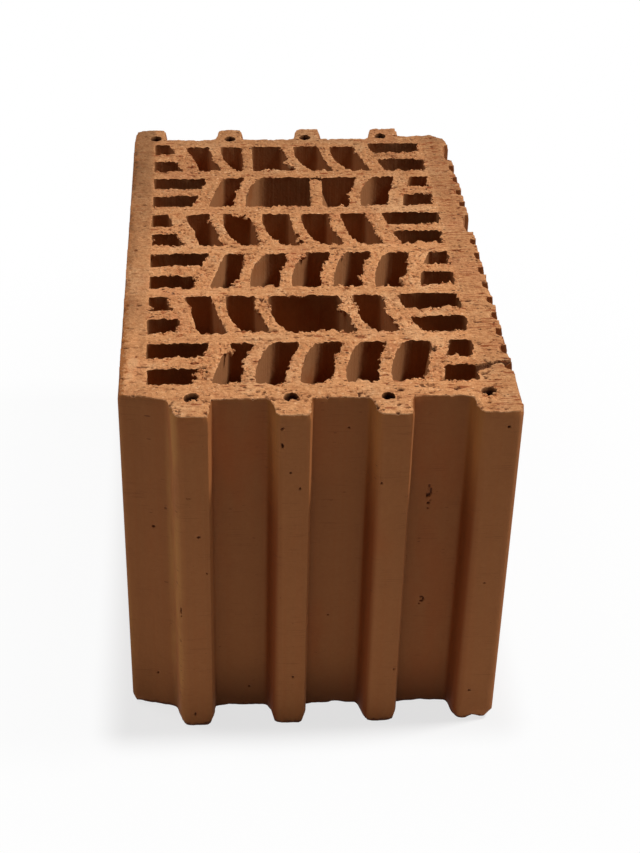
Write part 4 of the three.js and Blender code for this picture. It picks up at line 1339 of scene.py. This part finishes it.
def make_floor(look):
    """A flat floor. To the eye it is white away from the block, and its own grey in the block's shadow."""
    places = FLOOR_SIZE * np.array([(-1, -1, 0), (1, -1, 0), (1, 1, 0), (-1, 1, 0)])
    mesh = mesh_from("floor_surface", places, np.array([(0, 1, 2), (0, 2, 3)]), np.zeros(2))
    material, n, shader = blank_material("studio_floor", look.floor)
    shader.inputs["Base Color"].default_value = rgba(look.floor)
    shader.inputs["Roughness"].default_value = 0.9
    shader.inputs["Specular IOR Level"].default_value = 0.0
    beside = n.vector("ABSOLUTE", n.place())
    beyond = n.vector("MAXIMUM", n.vector("SUBTRACT", beside, (CAD_HIGH.x, CAD_HIGH.y, 0)), (0, 0, 0))
    gap = n.add("ShaderNodeVectorMath", {0: beyond}, operation="LENGTH").outputs["Value"]
    share = n.calc("ADD", n.spread(gap, 0.0, 0.03, 0.72, 0.95), n.spread(gap, 0.02, 0.3, 0.0, 0.05))
    white = n.add("ShaderNodeEmission", {"Color": (1, 1, 1, 1), "Strength": 1.0}).outputs[0]
    mixed = n.add("ShaderNodeMixShader", {0: n.times(seen(n), share), 1: shader.outputs[0], 2: white})
    n.put(n.tree.nodes["Material Output"].inputs["Surface"], mixed.outputs[0])
    show("studio_floor", mesh, [material])


def make_sky(scene, look):
    """Even light of the given strength, which looks white to the eye."""
    world = bpy.data.worlds.new("studio_sky")
    world.use_nodes = True
    scene.world = world
    n = Nodes(world.node_tree)
    background = n.tree.nodes["Background"]
    background.inputs["Color"].default_value = (1, 1, 1, 1)
    n.put(background.inputs["Strength"], n.spread(seen(n), 0.0, 1.0, look.sky, 1.0))


def make_lamp(scene, name, power, size, place, target):
    """A square lamp that shines from a place to a target."""
    light = bpy.data.lights.new(name, "AREA")
    light.shape, light.size, light.energy = "SQUARE", size, power
    holder = bpy.data.objects.new(name, light)
    way = Vector(place) - Vector(target)
    holder.matrix_world = Matrix.Translation(place) @ way.to_track_quat("Z", "Y").to_matrix().to_4x4()
    scene.collection.objects.link(holder)


def make_camera(scene):
    """The camera looks down over the front of the block. It looks along +y when unturned, and turns by its
    roll, then down and then to the side."""
    camera = bpy.data.cameras.new("camera")
    camera.sensor_width = SENSOR
    camera.lens = FOCAL_LENGTH * SENSOR / IMAGE_HEIGHT
    camera.shift_x, camera.shift_y = (pixels / IMAGE_HEIGHT for pixels in CAMERA_SHIFT)
    camera.clip_start, camera.clip_end = 0.05, 50
    aside, down, roll = (math.radians(angle) for angle in CAMERA_TURN)
    turn = Matrix.Rotation(math.pi / 2 - down, 4, "X") @ Matrix.Rotation(roll, 4, "Z")
    holder = bpy.data.objects.new("camera", camera)
    holder.matrix_world = Matrix.Translation(CAMERA_PLACE) @ Matrix.Rotation(aside, 4, "Z") @ turn
    scene.collection.objects.link(holder)
    scene.camera = holder


# ---------------------------------------------------------------- operators

BUILT = {}  # what the block's operator hands to the crumbs'


class CLAYBLOCK_OT_block(bpy.types.Operator):
    """Build the block with its torn cut faces, extruded skin and cells with painted shade"""

    bl_idname = "clayblock.block"
    bl_label = "Build Block"

    def execute(self, context):
        scene = context.scene
        mesh, BUILT["edge"] = make_block(scene.clay_surface)
        tones = scene.clay_colours
        materials = [cut_clay_material(tones), skin_material(tones), cell_material(tones)]
        piece = show("perforated_clay_block", mesh, materials)
        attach(piece, "root")
        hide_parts(BLOCK_NODE)
        return {"FINISHED"}


class CLAYBLOCK_OT_crumbs(bpy.types.Operator):
    """Hang the torn crumbs on the edges that the wire dragged"""

    bl_idname = "clayblock.crumbs"
    bl_label = "Build Crumbs"

    def execute(self, context):
        scene = context.scene
        mesh = make_crumbs(*BUILT["edge"], scene.clay_surface)
        piece = show("edge_crumbs", mesh, [cut_clay_material(scene.clay_colours)])
        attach(piece, "root")
        return {"FINISHED"}


class CLAYBLOCK_OT_studio(bpy.types.Operator):
    """Set out the floor, the lamps, the even surrounding light and the camera"""

    bl_idname = "clayblock.studio"
    bl_label = "Build Studio"

    def execute(self, context):
        scene, look = context.scene, context.scene.clay_studio
        make_floor(look)
        make_sky(scene, look)
        for name, size, place, target in LAMPS:
            make_lamp(scene, f"{name}_lamp", getattr(look, name), size, place, target)
        make_camera(scene)
        scene.view_settings.view_transform = "Standard"
        return {"FINISHED"}


class CLAYBLOCK_PT_panel(bpy.types.Panel):
    """The block's sizes, colours and steps"""

    bl_label = "Clay Block"
    bl_idname = "CLAYBLOCK_PT_panel"
    bl_space_type = "VIEW_3D"
    bl_region_type = "UI"
    bl_category = "Clay Block"

    def draw(self, context):
        for owner, settings in SETTINGS.items():
            box = self.layout.box()
            for name in settings.__annotations__:
                box.prop(getattr(context.scene, owner), name)
        for step in STEPS:
            self.layout.operator(step.bl_idname)


SETTINGS = {
    "clay_surface": ClaySurfaceSettings, "clay_colours": ClayColourSettings, "clay_studio": StudioSettings}
STEPS = (CLAYBLOCK_OT_block, CLAYBLOCK_OT_crumbs, CLAYBLOCK_OT_studio)
CLASSES = (*SETTINGS.values(), *STEPS, CLAYBLOCK_PT_panel)


def register():
    for one in CLASSES:
        bpy.utils.register_class(one)
    for owner, settings in SETTINGS.items():
        setattr(bpy.types.Scene, owner, PointerProperty(type=settings))


def unregister():
    for owner in SETTINGS:
        delattr(bpy.types.Scene, owner)
    for one in reversed(CLASSES):
        bpy.utils.unregister_class(one)


def main():
    register()
    bpy.ops.clayblock.block()
    bpy.ops.clayblock.crumbs()
    bpy.ops.clayblock.studio()


if __name__ == "__main__":
    main()
